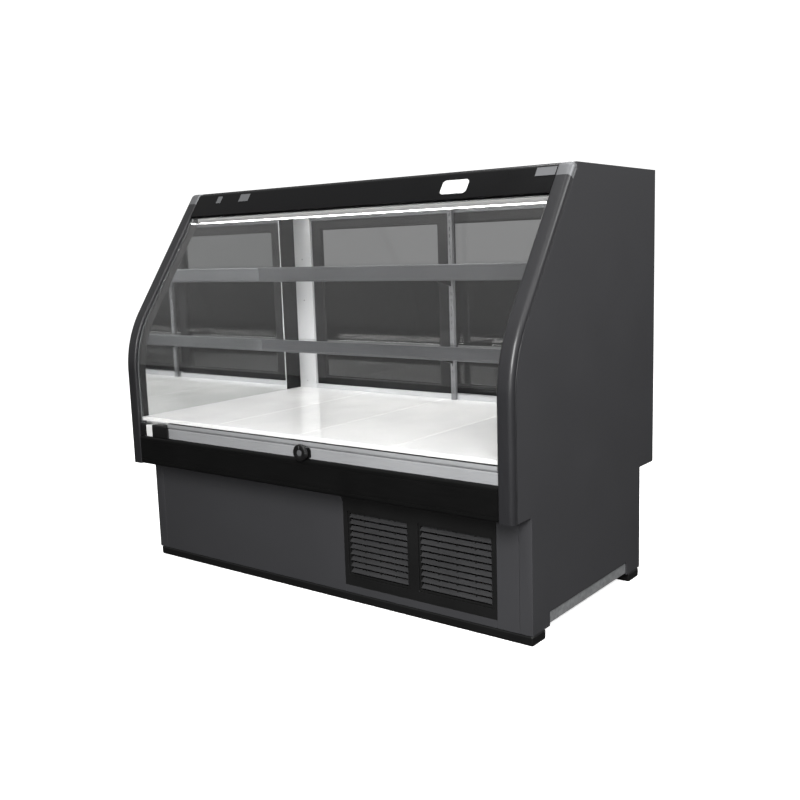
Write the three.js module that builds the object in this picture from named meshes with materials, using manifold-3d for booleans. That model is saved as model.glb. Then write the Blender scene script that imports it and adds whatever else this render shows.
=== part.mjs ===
// Glass display showcase: refrigerated counter case with a tilting front glass, two glass
// shelves, sliding rear doors and a condensing unit in the base. Millimetres, +Z up, front at -Y.
import * as THREE from "three";
import { mergeVertices } from "three/addons/utils/BufferGeometryUtils.js";
import Module from "manifold-3d";

const wasm = await Module();
wasm.setup();

// ---- driving dimensions ----
const LENGTH = 1524;
const BODY_DEPTH = 870;
const HEIGHT = 1270;
const GAP = 0.3;
const HALF = LENGTH / 2;

// side outline, measured back from the front plane and up from the floor
const OVERHANG_BOTTOM = 355;
const FRONT_STRAIGHT_TOP = HEIGHT * 0.5291;
const LEAN = THREE.MathUtils.degToRad(34.5);
const FRONT_ARC_RADIUS = HEIGHT * 0.2787;
const TOP_CORNER_RADIUS = 22;
const ARC_STEPS = 8;
const CORNER_STEPS = 4;
const BASE_FRONT = 92;
const BASE_BACK = BODY_DEPTH - 100;
const SHEET = 2.5;
const LEG_DEPTH = 94;
const NOTCH_TOP = 70;
const RUNNER_HEIGHT = 30;
const RUNNER_DEPTH = 72;

const END_THICKNESS = 40;
const TRIM_WIDTH = END_THICKNESS + 6;
const TRIM_DEPTH = 22;
const TRIM_TOP_REACH = 16;
const MIRROR_THICKNESS = 5;

// front: bumper, sill, glass, knob
const BUMPER_TOP = 452;
const BUMPER_FRONT = 2;
const BUMPER_DEPTH = 26;
const BUMPER_ROUND = 9;
const SILL_FRONT = 12;
const SILL_TOP = 486;
const SILL_BACK = 41;
const END_BLOCK_LENGTH = 140;
const END_BLOCK_TOP = 493.5;
const GLASS_INSET = 10;
const GLASS_THICKNESS = 8;
const GLASS_SIDE_CLEARANCE = 4;
const CHANNEL_RADIUS = 8;
const CHANNEL_CENTRE_Z = 495;
const KNOB_X = 42;
const KNOB_Z = 471.5;
const KNOB_RADIUS = 26;
const KNOB_STEM_RADIUS = 12;
const KNOB_PROUD = 12;

// canopy
const RAIL_SLOPE_LENGTH = 95;
const RAIL_INSET = 3;
const RAIL_THICKNESS = 22;
const CANOPY_THICKNESS = 25;
const PLATE_X = HALF - 365;
const PLATE_LENGTH = 90;
const PLATE_HEIGHT = 48;
const PLATE_THICKNESS = 1.2;
const LAMP_CASE_BOTTOM = HEIGHT - 84;
const LAMP_BOTTOM = LAMP_CASE_BOTTOM - 23;

// inside
const TUB_FRONT = 42;
const TUB_BACK = BODY_DEPTH - 25;
const TUB_WALL = 28;
const DECK_BOTTOM = 501;
const DECK_TOP = 515;
const DECK_FRONT = 27;
const DOOR_ZONE = BODY_DEPTH - 58;
const SHELF_FRONT = BODY_DEPTH - 264;
const SHELF_RAIL_THICKNESS = 9;
const SHELF_GLASS = 6;
const SHELF_LAMP_DEPTH = 22;
const SHELF_LAMP_HEIGHT = 20;
const UPPER_SHELF_Z = HEIGHT * 0.7756;
const LOWER_SHELF_Z = HEIGHT * 0.5622;
const UPPER_RAIL_HEIGHT = 54;
const LOWER_RAIL_HEIGHT = 46;
const RAIL_LIP = 14;
const BRACKET_THICKNESS = 4;
const STANDARD_WIDTH = 18;
const STANDARD_X = 42;
const STANDARD_DEPTH = 13;
const SHELF_BACK = DOOR_ZONE - STANDARD_DEPTH - 2;
const COIL_SPAN = LENGTH - 524;
const COIL_DEPTH = 120;

// rear doors
const JAMB_WIDTH = 90;
const TRACK_SILL_TOP = DECK_TOP + 17;
const TRACK_HEAD_BOTTOM = HEIGHT - 98;
const DOOR_THICKNESS = 14;
const TRACK_GROOVE = DOOR_THICKNESS + 4;
const TRACK_RIB = 4;
const TRACK_LIP = 7.7;
const DOOR_RIDE_HEIGHT = 0.5;
const DOOR_HEAD_PLAY = 3;
const TRACK_GROOVE_DEPTH = 13;
const DOOR_STILE = 46;
const DOOR_RAIL = 42;
const DOOR_GLASS = 5;
const DOOR_END_CLEARANCE = 2;
const PULL_LENGTH = 110;
const PULL_WIDTH = 20;
const PULL_DEPTH = 6;

// base
const PANEL_THICKNESS = 18;
const GRILLE_RIGHT = HALF - 110;
const GRILLE_LEFT = GRILLE_RIGHT - 538;
const GRILLE_BOTTOM = 54;
const WINDOW_BOTTOM = 84;
const WINDOW_TOP = 286;
const WINDOW_EDGES = [[16, 244], [278, 528]].map(([a, b]) => [GRILLE_LEFT + a, GRILLE_LEFT + b]);
const WINDOW_CLEARANCE = 0.4;
const LOUVRE_COUNT = 10;
const LOUVRE_DEPTH = 15;
const LOUVRE_THICKNESS = 2.4;
const LOUVRE_TILT = THREE.MathUtils.degToRad(38);
const LOUVRE_BORDER = 6;
const RIB_WIDTH = 4;
const PAN_RIM = 20;
const VENT_ROWS = 8;
const VENT_LENGTH = 120;
const VENT_HEIGHT = 9;
const VENT_PITCH = 22;
const VENT_BOTTOM = 90;
const VENT_OFFSETS = [-135, 15];

// condensing unit
const UNIT_X = (GRILLE_LEFT + GRILLE_RIGHT) / 2;
const FAN_Z = 180;
const FAN_RADIUS = 90;
const FAN_HUB_RADIUS = 22;
const FAN_BLADES = 4;
const FAN_CENTRE = 214;
const COIL_FRONT = 140;
const COIL_BACK = 184;

// control box
const BOX_X = UNIT_X + 176;
const BOX_WIDTH = 180;
const BOX_BOTTOM = 232;
const BOX_TOP = 340;
const BOX_DEPTH = 44;
const DIAL_RADIUS = 15;
const ROCKER_HALF = 10.5;
const ROCKER_WIDTH = 14;
const ROCKER_CLEARANCE = 1.5;
const ROCKER_TILT = THREE.MathUtils.degToRad(9);

// ---- derived positions ----
const END_INNER = HALF - END_THICKNESS;
const BETWEEN_ENDS = END_INNER - GAP;
const BETWEEN_TRIMS = HALF - TRIM_WIDTH - GAP;
const BETWEEN_MIRRORS = BETWEEN_ENDS - MIRROR_THICKNESS - GAP;
const CANOPY_BOTTOM = HEIGHT - CANOPY_THICKNESS;
const UNDER_CANOPY = CANOPY_BOTTOM - GAP;
const BASE_FLOOR = RUNNER_HEIGHT + GAP;
const BASE_TOP = OVERHANG_BOTTOM - GAP;
const PAN_FLOOR = BASE_FLOOR + SHEET;
const BETWEEN_JAMBS = BETWEEN_ENDS - JAMB_WIDTH - GAP;

// a depth measured back from the front plane becomes a Y position about the middle of the whole depth
const back = (depth) => depth - (BODY_DEPTH - KNOB_PROUD) / 2;

// ---- finishes ----
const finish = (color, roughness, metalness) => ({ color, roughness, metalness });
const LAMINATE = finish(0x4a4a4c, 0.45, 0);
const TRIM = finish(0x5c5d60, 0.22, 0.6);
const BLACK_METAL = finish(0x222324, 0.4, 0.3);
const BUMPER = finish(0x151515, 0.5, 0);
const ALUMINIUM = finish(0x9a9b9d, 0.35, 0.9);
const WHITE_ENAMEL = finish(0xeeeeec, 0.3, 0);
const CLEAR_GLASS = finish(0xdde6e6, 0.05, 0);
const SILVERED = finish(0xe8eaec, 0.03, 1);
const PALE_STEEL = finish(0xb4b6b8, 0.4, 0.8);
const LAMP = finish(0xffffff, 0.4, 0);
const GRILLE_BLACK = finish(0x191919, 0.4, 0.2);
const FINS = finish(0xb9bbbd, 0.35, 0.9);
const UNIT_BLACK = finish(0x1c1c1d, 0.45, 0.1);
const BLACK_PLASTIC = finish(0x111111, 0.4, 0);

const group = new THREE.Group();
group.name = "display_showcase";

function add(name, geometry, look) {
  const mesh = new THREE.Mesh(geometry, new THREE.MeshStandardMaterial(look));
  mesh.name = name;
  group.add(mesh);
}

// ---- shapes ----
function board(x0, x1, y0, y1, z0, z1) {
  const box = new THREE.BoxGeometry(x1 - x0, y1 - y0, z1 - z0);
  return box.translate((x0 + x1) / 2, back((y0 + y1) / 2), (z0 + z1) / 2);
}

const outline = (points) => new THREE.Shape(points.map(([a, b]) => new THREE.Vector2(a, b)));

// outline given as [depth, height], swept along X
function sideSlab(points, x0, x1) {
  const slab = new THREE.ExtrudeGeometry(outline(points), { depth: x1 - x0, bevelEnabled: false });
  const turn = new THREE.Matrix4().makeBasis(
    new THREE.Vector3(0, 1, 0), new THREE.Vector3(0, 0, 1), new THREE.Vector3(1, 0, 0));
  return slab.applyMatrix4(turn).translate(x0, back(0), 0);
}

// outline given as [x, height], swept from depth y0 to depth y1
function frontSlab(points, y0, y1, holes = []) {
  const shape = outline(points);
  holes.forEach((hole) => shape.holes.push(outline(hole)));
  const slab = new THREE.ExtrudeGeometry(shape, { depth: y1 - y0, bevelEnabled: false });
  return slab.rotateX(Math.PI / 2).translate(0, back(y1), 0);
}

const rectangle = (a0, a1, b0, b1) => [[a0, b0], [a1, b0], [a1, b1], [a0, b1]];

function roundedRectangle(a0, a1, b0, b1, radius) {
  const corners = [[a1 - radius, b0 + radius, -90], [a1 - radius, b1 - radius, 0],
    [a0 + radius, b1 - radius, 90], [a0 + radius, b0 + radius, 180]];
  return corners.flatMap(([a, b, start]) => arc(a, b, radius, start, start + 90, CORNER_STEPS));
}

function arc(a, b, radius, from, to, steps) {
  return Array.from({ length: steps + 1 }, (_, i) => {
    const angle = THREE.MathUtils.degToRad(from + (to - from) * i / steps);
    return [a + radius * Math.cos(angle), b + radius * Math.sin(angle)];
  });
}

// profile given as [radius, distance along the axis], pointing to +Y for dir 1 or -Y for dir -1
function turned(profile, x, depth, z, dir, segments = 32) {
  const points = profile.map(([r, a]) => new THREE.Vector2(r, a));
  const solid = new THREE.LatheGeometry(points, segments);
  if (dir < 0) {
    solid.rotateX(Math.PI);
  }
  return solid.translate(x, back(depth), z);
}

function toManifold(geometry) {
  const plain = geometry.clone();
  plain.deleteAttribute("normal");
  plain.deleteAttribute("uv");
  const merged = mergeVertices(plain, 1e-4);
  const mesh = new wasm.Mesh({
    numProp: 3,
    vertProperties: new Float32Array(merged.attributes.position.array),
    triVerts: new Uint32Array(merged.index.array),
  });
  return new wasm.Manifold(mesh);
}

function toGeometry(solid) {
  const mesh = solid.getMesh();
  const geometry = new THREE.BufferGeometry();
  geometry.setAttribute("position", new THREE.BufferAttribute(new Float32Array(mesh.vertProperties), 3));
  geometry.setIndex(new THREE.BufferAttribute(new Uint32Array(mesh.triVerts), 1));
  return geometry;
}

const joined = (pieces) => toGeometry(pieces.map(toManifold).reduce((a, b) => a.add(b)));

function cut(piece, holes) {
  return toGeometry(holes.map(toManifold).reduce((a, b) => a.subtract(b), toManifold(piece)));
}

// ---- the leaning front outline, inset by a distance into the cabinet ----
const slopeStart = [
  FRONT_ARC_RADIUS * (1 - Math.cos(LEAN)),
  FRONT_STRAIGHT_TOP + FRONT_ARC_RADIUS * Math.sin(LEAN),
];

// a point on the slope: run up it from the end of the arc, then inset square to it
const onSlope = (run, inset) => [
  slopeStart[0] + run * Math.sin(LEAN) + inset * Math.cos(LEAN),
  slopeStart[1] + run * Math.cos(LEAN) - inset * Math.sin(LEAN),
];

// how far up the slope the inset outline reaches a height
const runTo = (height, inset) => (height - slopeStart[1] + inset * Math.sin(LEAN)) / Math.cos(LEAN);

const SLOPE_LENGTH = runTo(HEIGHT, 0);
const RAIL_START = SLOPE_LENGTH - RAIL_SLOPE_LENGTH;
const TOP_EDGE = onSlope(SLOPE_LENGTH, 0)[0] + TRIM_TOP_REACH;
const LEAN_DEGREES = THREE.MathUtils.radToDeg(LEAN);

const lowerFront = (inset, bottom) => [
  [inset, bottom],
  ...arc(FRONT_ARC_RADIUS, FRONT_STRAIGHT_TOP, FRONT_ARC_RADIUS - inset, 180, 180 - LEAN_DEGREES, ARC_STEPS),
];

function topCorner(inset) {
  const radius = TOP_CORNER_RADIUS - inset;
  if (radius < 1) {
    return [onSlope(runTo(HEIGHT - inset, inset), inset)];
  }
  const centre = onSlope(runTo(HEIGHT - TOP_CORNER_RADIUS, TOP_CORNER_RADIUS), TOP_CORNER_RADIUS);
  return arc(centre[0], centre[1], radius, 180 - LEAN_DEGREES, 90, CORNER_STEPS);
}

// ---- ends ----
function endOutline() {
  const inset = TRIM_DEPTH + GAP;
  const frontLegBack = BASE_FRONT + LEG_DEPTH;
  const rearLegFront = BASE_BACK - LEG_DEPTH;
  return [
    [BASE_FRONT, BASE_FLOOR], [frontLegBack, BASE_FLOOR], [frontLegBack, NOTCH_TOP],
    [rearLegFront, NOTCH_TOP], [rearLegFront, BASE_FLOOR], [BASE_BACK, BASE_FLOOR],
    [BASE_BACK, OVERHANG_BOTTOM], [BODY_DEPTH, OVERHANG_BOTTOM], [BODY_DEPTH, HEIGHT],
    [TOP_EDGE + GAP, HEIGHT], [TOP_EDGE + GAP, HEIGHT - inset],
    ...topCorner(inset), ...lowerFront(inset, OVERHANG_BOTTOM).reverse(),
    [BASE_FRONT, OVERHANG_BOTTOM],
  ];
}

const trimOutline = () => [
  ...topCorner(TRIM_DEPTH), ...lowerFront(TRIM_DEPTH, OVERHANG_BOTTOM).reverse(),
  ...lowerFront(0, OVERHANG_BOTTOM), ...topCorner(0), [TOP_EDGE, HEIGHT], [TOP_EDGE, HEIGHT - TRIM_DEPTH],
];

function mirrorOutline() {
  const inset = TRIM_DEPTH + GAP;
  const top = Math.min(UNDER_CANOPY, HEIGHT - inset);
  return [
    [DOOR_ZONE, DECK_BOTTOM], [DOOR_ZONE, top], onSlope(runTo(top, inset), inset),
    ...lowerFront(inset, DECK_BOTTOM).reverse(),
  ];
}

function ends() {
  for (const [side, from, to] of [["left", -1, 0], ["right", 0, 1]]) {
    const span = (outer, width) => [from * outer + to * (outer - width), to * outer + from * (outer - width)];
    add(`end_panel_${side}`, sideSlab(endOutline(), ...span(HALF, END_THICKNESS)), LAMINATE);
    add(`edge_trim_${side}`, sideSlab(trimOutline(), ...span(HALF, TRIM_WIDTH)), TRIM);
    add(`end_mirror_${side}`, sideSlab(mirrorOutline(), ...span(BETWEEN_ENDS, MIRROR_THICKNESS)), SILVERED);
  }
}

// ---- canopy ----
function canopy() {
  const inner = RAIL_INSET + RAIL_THICKNESS;
  const rail = [
    onSlope(RAIL_START, RAIL_INSET), ...topCorner(RAIL_INSET), [TOP_EDGE, HEIGHT - RAIL_INSET],
    [TOP_EDGE, HEIGHT - inner], onSlope(runTo(HEIGHT - inner, inner), inner), onSlope(RAIL_START, inner),
  ];
  add("canopy_front_rail", sideSlab(rail, -BETWEEN_TRIMS, BETWEEN_TRIMS), BLACK_METAL);
  const top = board(-BETWEEN_ENDS, BETWEEN_ENDS, TOP_EDGE + GAP, BODY_DEPTH, CANOPY_BOTTOM, HEIGHT);
  add("canopy_top", top, LAMINATE);
  add("name_plate", namePlate(), WHITE_ENAMEL);
  add("canopy_lamp", canopyLamp(), LAMP);
}

function namePlate() {
  const half = PLATE_LENGTH / 2;
  const rise = PLATE_HEIGHT / 2;
  const shape = outline(roundedRectangle(-half, half, -rise, rise, 12));
  const plate = new THREE.ExtrudeGeometry(shape, { depth: PLATE_THICKNESS, bevelEnabled: false });
  const centre = onSlope(SLOPE_LENGTH - RAIL_SLOPE_LENGTH * 0.56, RAIL_INSET - GAP);
  return plate.rotateX(Math.PI / 2 - LEAN).translate(PLATE_X, back(centre[0]), centre[1]);
}

// a lit diffuser below a case that follows the back of the rail
function canopyLamp() {
  const behindRail = RAIL_INSET + RAIL_THICKNESS + GAP;
  const front = onSlope(runTo(LAMP_CASE_BOTTOM, behindRail), behindRail);
  const top = onSlope(runTo(UNDER_CANOPY - GAP, behindRail), behindRail);
  const lamp = [
    [front[0] + 4, LAMP_BOTTOM], [front[0] + 46, LAMP_BOTTOM], [front[0] + 52, LAMP_CASE_BOTTOM],
    [front[0] + 76, LAMP_CASE_BOTTOM], [front[0] + 76, UNDER_CANOPY], [top[0] + 4, UNDER_CANOPY],
    [front[0] + 4, LAMP_CASE_BOTTOM],
  ];
  return sideSlab(lamp, -BETWEEN_MIRRORS, BETWEEN_MIRRORS);
}

// ---- front below the glass ----
function frontBelowGlass() {
  const round = BUMPER_ROUND;
  const roundBack = BUMPER_FRONT + round;
  const bumper = [
    [roundBack, OVERHANG_BOTTOM], [BUMPER_DEPTH, OVERHANG_BOTTOM], [BUMPER_DEPTH, BUMPER_TOP],
    [roundBack, BUMPER_TOP], ...arc(roundBack, BUMPER_TOP - round, round, 112, 180, 3),
    ...arc(roundBack, OVERHANG_BOTTOM + round, round, 180, 248, 3),
  ];
  add("front_bumper", sideSlab(bumper, -BETWEEN_TRIMS, BETWEEN_TRIMS), BUMPER);
  const split = -BETWEEN_TRIMS + END_BLOCK_LENGTH;
  const sillBottom = BUMPER_TOP + GAP;
  const sill = board(split + GAP, BETWEEN_TRIMS, SILL_FRONT, SILL_BACK, sillBottom, SILL_TOP);
  add("front_sill", sill, ALUMINIUM);
  const block = board(-BETWEEN_TRIMS, split, SILL_FRONT - 6, SILL_BACK, sillBottom, END_BLOCK_TOP);
  add("sill_end_block", block, BLACK_PLASTIC);
}

function lockKnob() {
  const length = SILL_FRONT - GAP + KNOB_PROUD;
  const profile = [
    [0, 0], [KNOB_STEM_RADIUS, 0], [KNOB_STEM_RADIUS, SILL_FRONT - BUMPER_FRONT], [KNOB_RADIUS, length - 12],
    [KNOB_RADIUS, length - 4], [KNOB_RADIUS - 4, length], [9, length - 2], [7, length - 1], [0, length - 1],
  ];
  add("glass_lock_knob", turned(profile, KNOB_X, SILL_FRONT - GAP, KNOB_Z, -1), BLACK_PLASTIC);
}

function tiltingGlass() {
  const half = BETWEEN_TRIMS + GAP - GLASS_SIDE_CLEARANCE;
  const centre = GLASS_INSET + GLASS_THICKNESS / 2;
  const glassBottom = CHANNEL_CENTRE_Z + 2;
  const inner = GLASS_INSET + GLASS_THICKNESS;
  const end = RAIL_START - GLASS_SIDE_CLEARANCE;
  const glass = [
    ...lowerFront(GLASS_INSET, glassBottom), onSlope(end, GLASS_INSET), onSlope(end, inner),
    ...lowerFront(inner, glassBottom).reverse(),
  ];
  add("front_glass", sideSlab(glass, -half, half), CLEAR_GLASS);
  const slot = GLASS_THICKNESS / 2 + GAP;
  const channelTop = CHANNEL_CENTRE_Z + CHANNEL_RADIUS;
  const channel = [
    ...arc(centre, CHANNEL_CENTRE_Z, CHANNEL_RADIUS, 180, 360, 10),
    [centre + CHANNEL_RADIUS, channelTop], [centre + slot, channelTop], [centre + slot, glassBottom - GAP],
    [centre - slot, glassBottom - GAP], [centre - slot, channelTop], [centre - CHANNEL_RADIUS, channelTop],
  ];
  add("glass_hinge_channel", sideSlab(channel, END_BLOCK_LENGTH - half, half), ALUMINIUM);
}

// ---- insulated tub, deck and cooling coil ----
function tubAndDeck() {
  const tubTop = DECK_BOTTOM - GAP;
  const tubFloor = OVERHANG_BOTTOM + TUB_WALL;
  const tub = [
    [TUB_FRONT, OVERHANG_BOTTOM], [TUB_BACK, OVERHANG_BOTTOM], [TUB_BACK, tubTop],
    [TUB_BACK - TUB_WALL, tubTop], [TUB_BACK - TUB_WALL, tubFloor], [TUB_FRONT + TUB_WALL, tubFloor],
    [TUB_FRONT + TUB_WALL, tubTop], [TUB_FRONT, tubTop],
  ];
  add("insulated_tub", sideSlab(tub, -BETWEEN_ENDS, BETWEEN_ENDS), WHITE_ENAMEL);
  const deck = [
    [DECK_FRONT, DECK_BOTTOM], [DECK_FRONT + SHEET, DECK_BOTTOM], [DECK_FRONT + SHEET, DECK_TOP - SHEET],
    [DOOR_ZONE - SHEET, DECK_TOP - SHEET], [DOOR_ZONE - SHEET, DECK_BOTTOM], [DOOR_ZONE, DECK_BOTTOM],
    [DOOR_ZONE, DECK_TOP], [DECK_FRONT, DECK_TOP],
  ];
  add("display_deck", sideSlab(deck, -BETWEEN_MIRRORS, BETWEEN_MIRRORS), WHITE_ENAMEL);
  const half = COIL_SPAN / 2;
  const coilFront = (TUB_FRONT + TUB_BACK - COIL_DEPTH) / 2;
  const coilTop = DECK_BOTTOM - 22;
  const coil = board(-half, half, coilFront, coilFront + COIL_DEPTH, tubFloor + GAP, coilTop);
  add("evaporator_coil", coil, FINS);
  const rearPanel = board(-BETWEEN_ENDS, BETWEEN_ENDS, TUB_BACK + GAP, BODY_DEPTH, OVERHANG_BOTTOM, tubTop);
  add("rear_lower_panel", rearPanel, LAMINATE);
}

// ---- shelves ----
function shelf(level, z, railHeight) {
  const half = BETWEEN_MIRRORS;
  const railBack = SHELF_FRONT + SHELF_RAIL_THICKNESS;
  const glassBottom = z - SHELF_GLASS;
  add(`shelf_${level}_glass`, board(-half, half, railBack + GAP, SHELF_BACK, glassBottom, z), CLEAR_GLASS);
  const railTop = z + RAIL_LIP;
  const rail = board(-half, half, SHELF_FRONT, railBack, railTop - railHeight, railTop);
  add(`shelf_${level}_rail`, rail, ALUMINIUM);
  const lampBack = railBack + GAP + SHELF_LAMP_DEPTH;
  const lampTop = glassBottom - GAP;
  const lamp = board(20 - half, half - 20, railBack + GAP, lampBack, lampTop - SHELF_LAMP_HEIGHT, lampTop);
  add(`shelf_${level}_lamp`, lamp, LAMP);
  const thickness = BRACKET_THICKNESS;
  bracket(`shelf_${level}_bracket_left`, -half, lampBack + GAP, DOOR_ZONE - 4, lampTop);
  bracket(`shelf_${level}_bracket_centre`, STANDARD_X - thickness / 2, lampBack + GAP, SHELF_BACK + GAP, lampTop);
  bracket(`shelf_${level}_bracket_right`, half - thickness, lampBack + GAP, DOOR_ZONE - 4, lampTop);
}

function bracket(name, x, front, rear, top) {
  const plate = [[front, top - 16], [rear, top - 62], [rear, top], [front, top]];
  add(name, sideSlab(plate, x, x + BRACKET_THICKNESS), BLACK_METAL);
}

function centreStandard() {
  const front = DOOR_ZONE - STANDARD_DEPTH - GAP;
  const half = STANDARD_WIDTH / 2;
  const post = board(STANDARD_X - half, STANDARD_X + half, front, DOOR_ZONE - GAP, DECK_TOP + GAP, UNDER_CANOPY);
  add("centre_standard", post, ALUMINIUM);
}

// ---- rear frame and doors ----
const INNER_GROOVE = DOOR_ZONE + GAP + TRACK_LIP;
const OUTER_GROOVE = INNER_GROOVE + TRACK_GROOVE + TRACK_RIB;

// three ribs and two grooves, open towards the doors: sense +1 opens upwards, -1 downwards
function trackOutline(base, open, sense) {
  const front = DOOR_ZONE + GAP;
  const bottom = open - sense * TRACK_GROOVE_DEPTH;
  const groove = (start) => [
    [start, open], [start, bottom], [start + TRACK_GROOVE, bottom], [start + TRACK_GROOVE, open],
  ];
  const points = [
    [front, base], [front, open], ...groove(INNER_GROOVE), ...groove(OUTER_GROOVE),
    [BODY_DEPTH, open], [BODY_DEPTH, base],
  ];
  return sense > 0 ? points.reverse() : points;
}

function rearFrame() {
  const sill = trackOutline(DECK_BOTTOM, TRACK_SILL_TOP, 1);
  const head = trackOutline(UNDER_CANOPY, TRACK_HEAD_BOTTOM, -1);
  add("rear_sill_track", sideSlab(sill, -BETWEEN_JAMBS, BETWEEN_JAMBS), ALUMINIUM);
  add("rear_head_track", sideSlab(head, -BETWEEN_JAMBS, BETWEEN_JAMBS), ALUMINIUM);
  const jamb = (x) => board(x, x + JAMB_WIDTH, DOOR_ZONE + GAP, BODY_DEPTH, DECK_BOTTOM, UNDER_CANOPY);
  add("rear_jamb_left", jamb(-BETWEEN_ENDS), ALUMINIUM);
  add("rear_jamb_right", jamb(BETWEEN_ENDS - JAMB_WIDTH), ALUMINIUM);
}

function slidingDoor(side, x0, x1, grooveStart, pullX) {
  const front = grooveStart + (TRACK_GROOVE - DOOR_THICKNESS) / 2;
  const rear = front + DOOR_THICKNESS;
  const bottom = TRACK_SILL_TOP - TRACK_GROOVE_DEPTH + DOOR_RIDE_HEIGHT;
  const top = TRACK_HEAD_BOTTOM + TRACK_GROOVE_DEPTH - DOOR_HEAD_PLAY;
  const window = rectangle(x0 + DOOR_STILE, x1 - DOOR_STILE, bottom + DOOR_RAIL, top - DOOR_RAIL);
  const ring = frontSlab(rectangle(x0, x1, bottom, top), front, rear, [window]);
  const pullBottom = (TRACK_SILL_TOP + TRACK_HEAD_BOTTOM - PULL_LENGTH) / 2;
  const pullLeft = pullX - PULL_WIDTH / 2;
  const pullTop = pullBottom + PULL_LENGTH;
  const pull = board(pullLeft, pullLeft + PULL_WIDTH, rear - PULL_DEPTH, rear + 1, pullBottom, pullTop);
  add(`rear_door_${side}_frame`, cut(ring, [pull]), BLACK_METAL);
  const centre = (front + rear) / 2;
  const edge = DOOR_STILE + GAP;
  const paneFront = centre - DOOR_GLASS / 2;
  const pane = board(x0 + edge, x1 - edge, paneFront, paneFront + DOOR_GLASS, bottom + DOOR_RAIL + GAP,
    top - DOOR_RAIL - GAP);
  add(`rear_door_${side}_glass`, pane, CLEAR_GLASS);
}

function rearDoors() {
  const end = BETWEEN_JAMBS + GAP - DOOR_END_CLEARANCE;
  const overlap = DOOR_STILE / 2;
  const pullInset = end - DOOR_STILE / 2;
  slidingDoor("left", -end, overlap, INNER_GROOVE, -pullInset);
  slidingDoor("right", -overlap, end, OUTER_GROOVE, pullInset);
}

// ---- base ----
function baseShell() {
  const front = BASE_FRONT;
  const rear = BASE_FRONT + PANEL_THICKNESS;
  const left = board(-BETWEEN_ENDS, GRILLE_LEFT - GAP, front, rear, BASE_FLOOR, BASE_TOP);
  add("base_front_panel", left, LAMINATE);
  const stile = board(GRILLE_RIGHT + GAP, BETWEEN_ENDS, front, rear, BASE_FLOOR, BASE_TOP);
  add("base_front_stile", stile, LAMINATE);
  const strip = board(GRILLE_LEFT, GRILLE_RIGHT, front, rear, BASE_FLOOR, GRILLE_BOTTOM - GAP);
  add("base_front_strip", strip, LAMINATE);
  const windows = WINDOW_EDGES.map(([a, b]) => roundedRectangle(a, b, WINDOW_BOTTOM, WINDOW_TOP, 5));
  const around = rectangle(GRILLE_LEFT, GRILLE_RIGHT, GRILLE_BOTTOM, BASE_TOP);
  add("grille_surround", frontSlab(around, front - 1, rear, windows), GRILLE_BLACK);
  add("louvre_grille_left", louvreGrille(...WINDOW_EDGES[0]), GRILLE_BLACK);
  add("louvre_grille_right", louvreGrille(...WINDOW_EDGES[1]), GRILLE_BLACK);
  const behind = BASE_BACK - PANEL_THICKNESS;
  const panel = board(-BETWEEN_ENDS, BETWEEN_ENDS, behind, BASE_BACK, BASE_FLOOR, BASE_TOP);
  add("base_rear_panel", cut(panel, ventSlots()), LAMINATE);
  add("base_pan", sideSlab(panOutline(rear + GAP, behind - GAP), -BETWEEN_ENDS, BETWEEN_ENDS), PALE_STEEL);
  const railFront = BASE_FRONT + LEG_DEPTH + GAP;
  const railBack = BASE_BACK - LEG_DEPTH - GAP;
  const railBottom = BASE_FLOOR + 5;
  const railTop = NOTCH_TOP - GAP;
  const outer = HALF - 4;
  add("base_rail_left", board(-outer, -END_INNER, railFront, railBack, railBottom, railTop), PALE_STEEL);
  add("base_rail_right", board(END_INNER, outer, railFront, railBack, railBottom, railTop), PALE_STEEL);
  add("front_runner", runner(BASE_FRONT + 2), GRILLE_BLACK);
  add("rear_runner", runner(BASE_BACK - RUNNER_DEPTH - 2), GRILLE_BLACK);
}

// a sheet tray with turned-up rims
const panOutline = (front, rear) => [
  [front, BASE_FLOOR], [rear, BASE_FLOOR], [rear, BASE_FLOOR + PAN_RIM], [rear - SHEET, BASE_FLOOR + PAN_RIM],
  [rear - SHEET, PAN_FLOOR], [front + SHEET, PAN_FLOOR], [front + SHEET, BASE_FLOOR + PAN_RIM],
  [front, BASE_FLOOR + PAN_RIM],
];

const runner = (front) => board(-HALF + 1, HALF - 1, front, front + RUNNER_DEPTH, 0, RUNNER_HEIGHT);

function ventSlots() {
  return VENT_OFFSETS.flatMap((offset) => Array.from({ length: VENT_ROWS }, (_, i) => {
    const x = UNIT_X + offset;
    const z = VENT_BOTTOM + i * VENT_PITCH;
    return board(x, x + VENT_LENGTH, BASE_BACK - PANEL_THICKNESS - 1, BASE_BACK + 1, z, z + VENT_HEIGHT);
  }));
}

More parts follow.
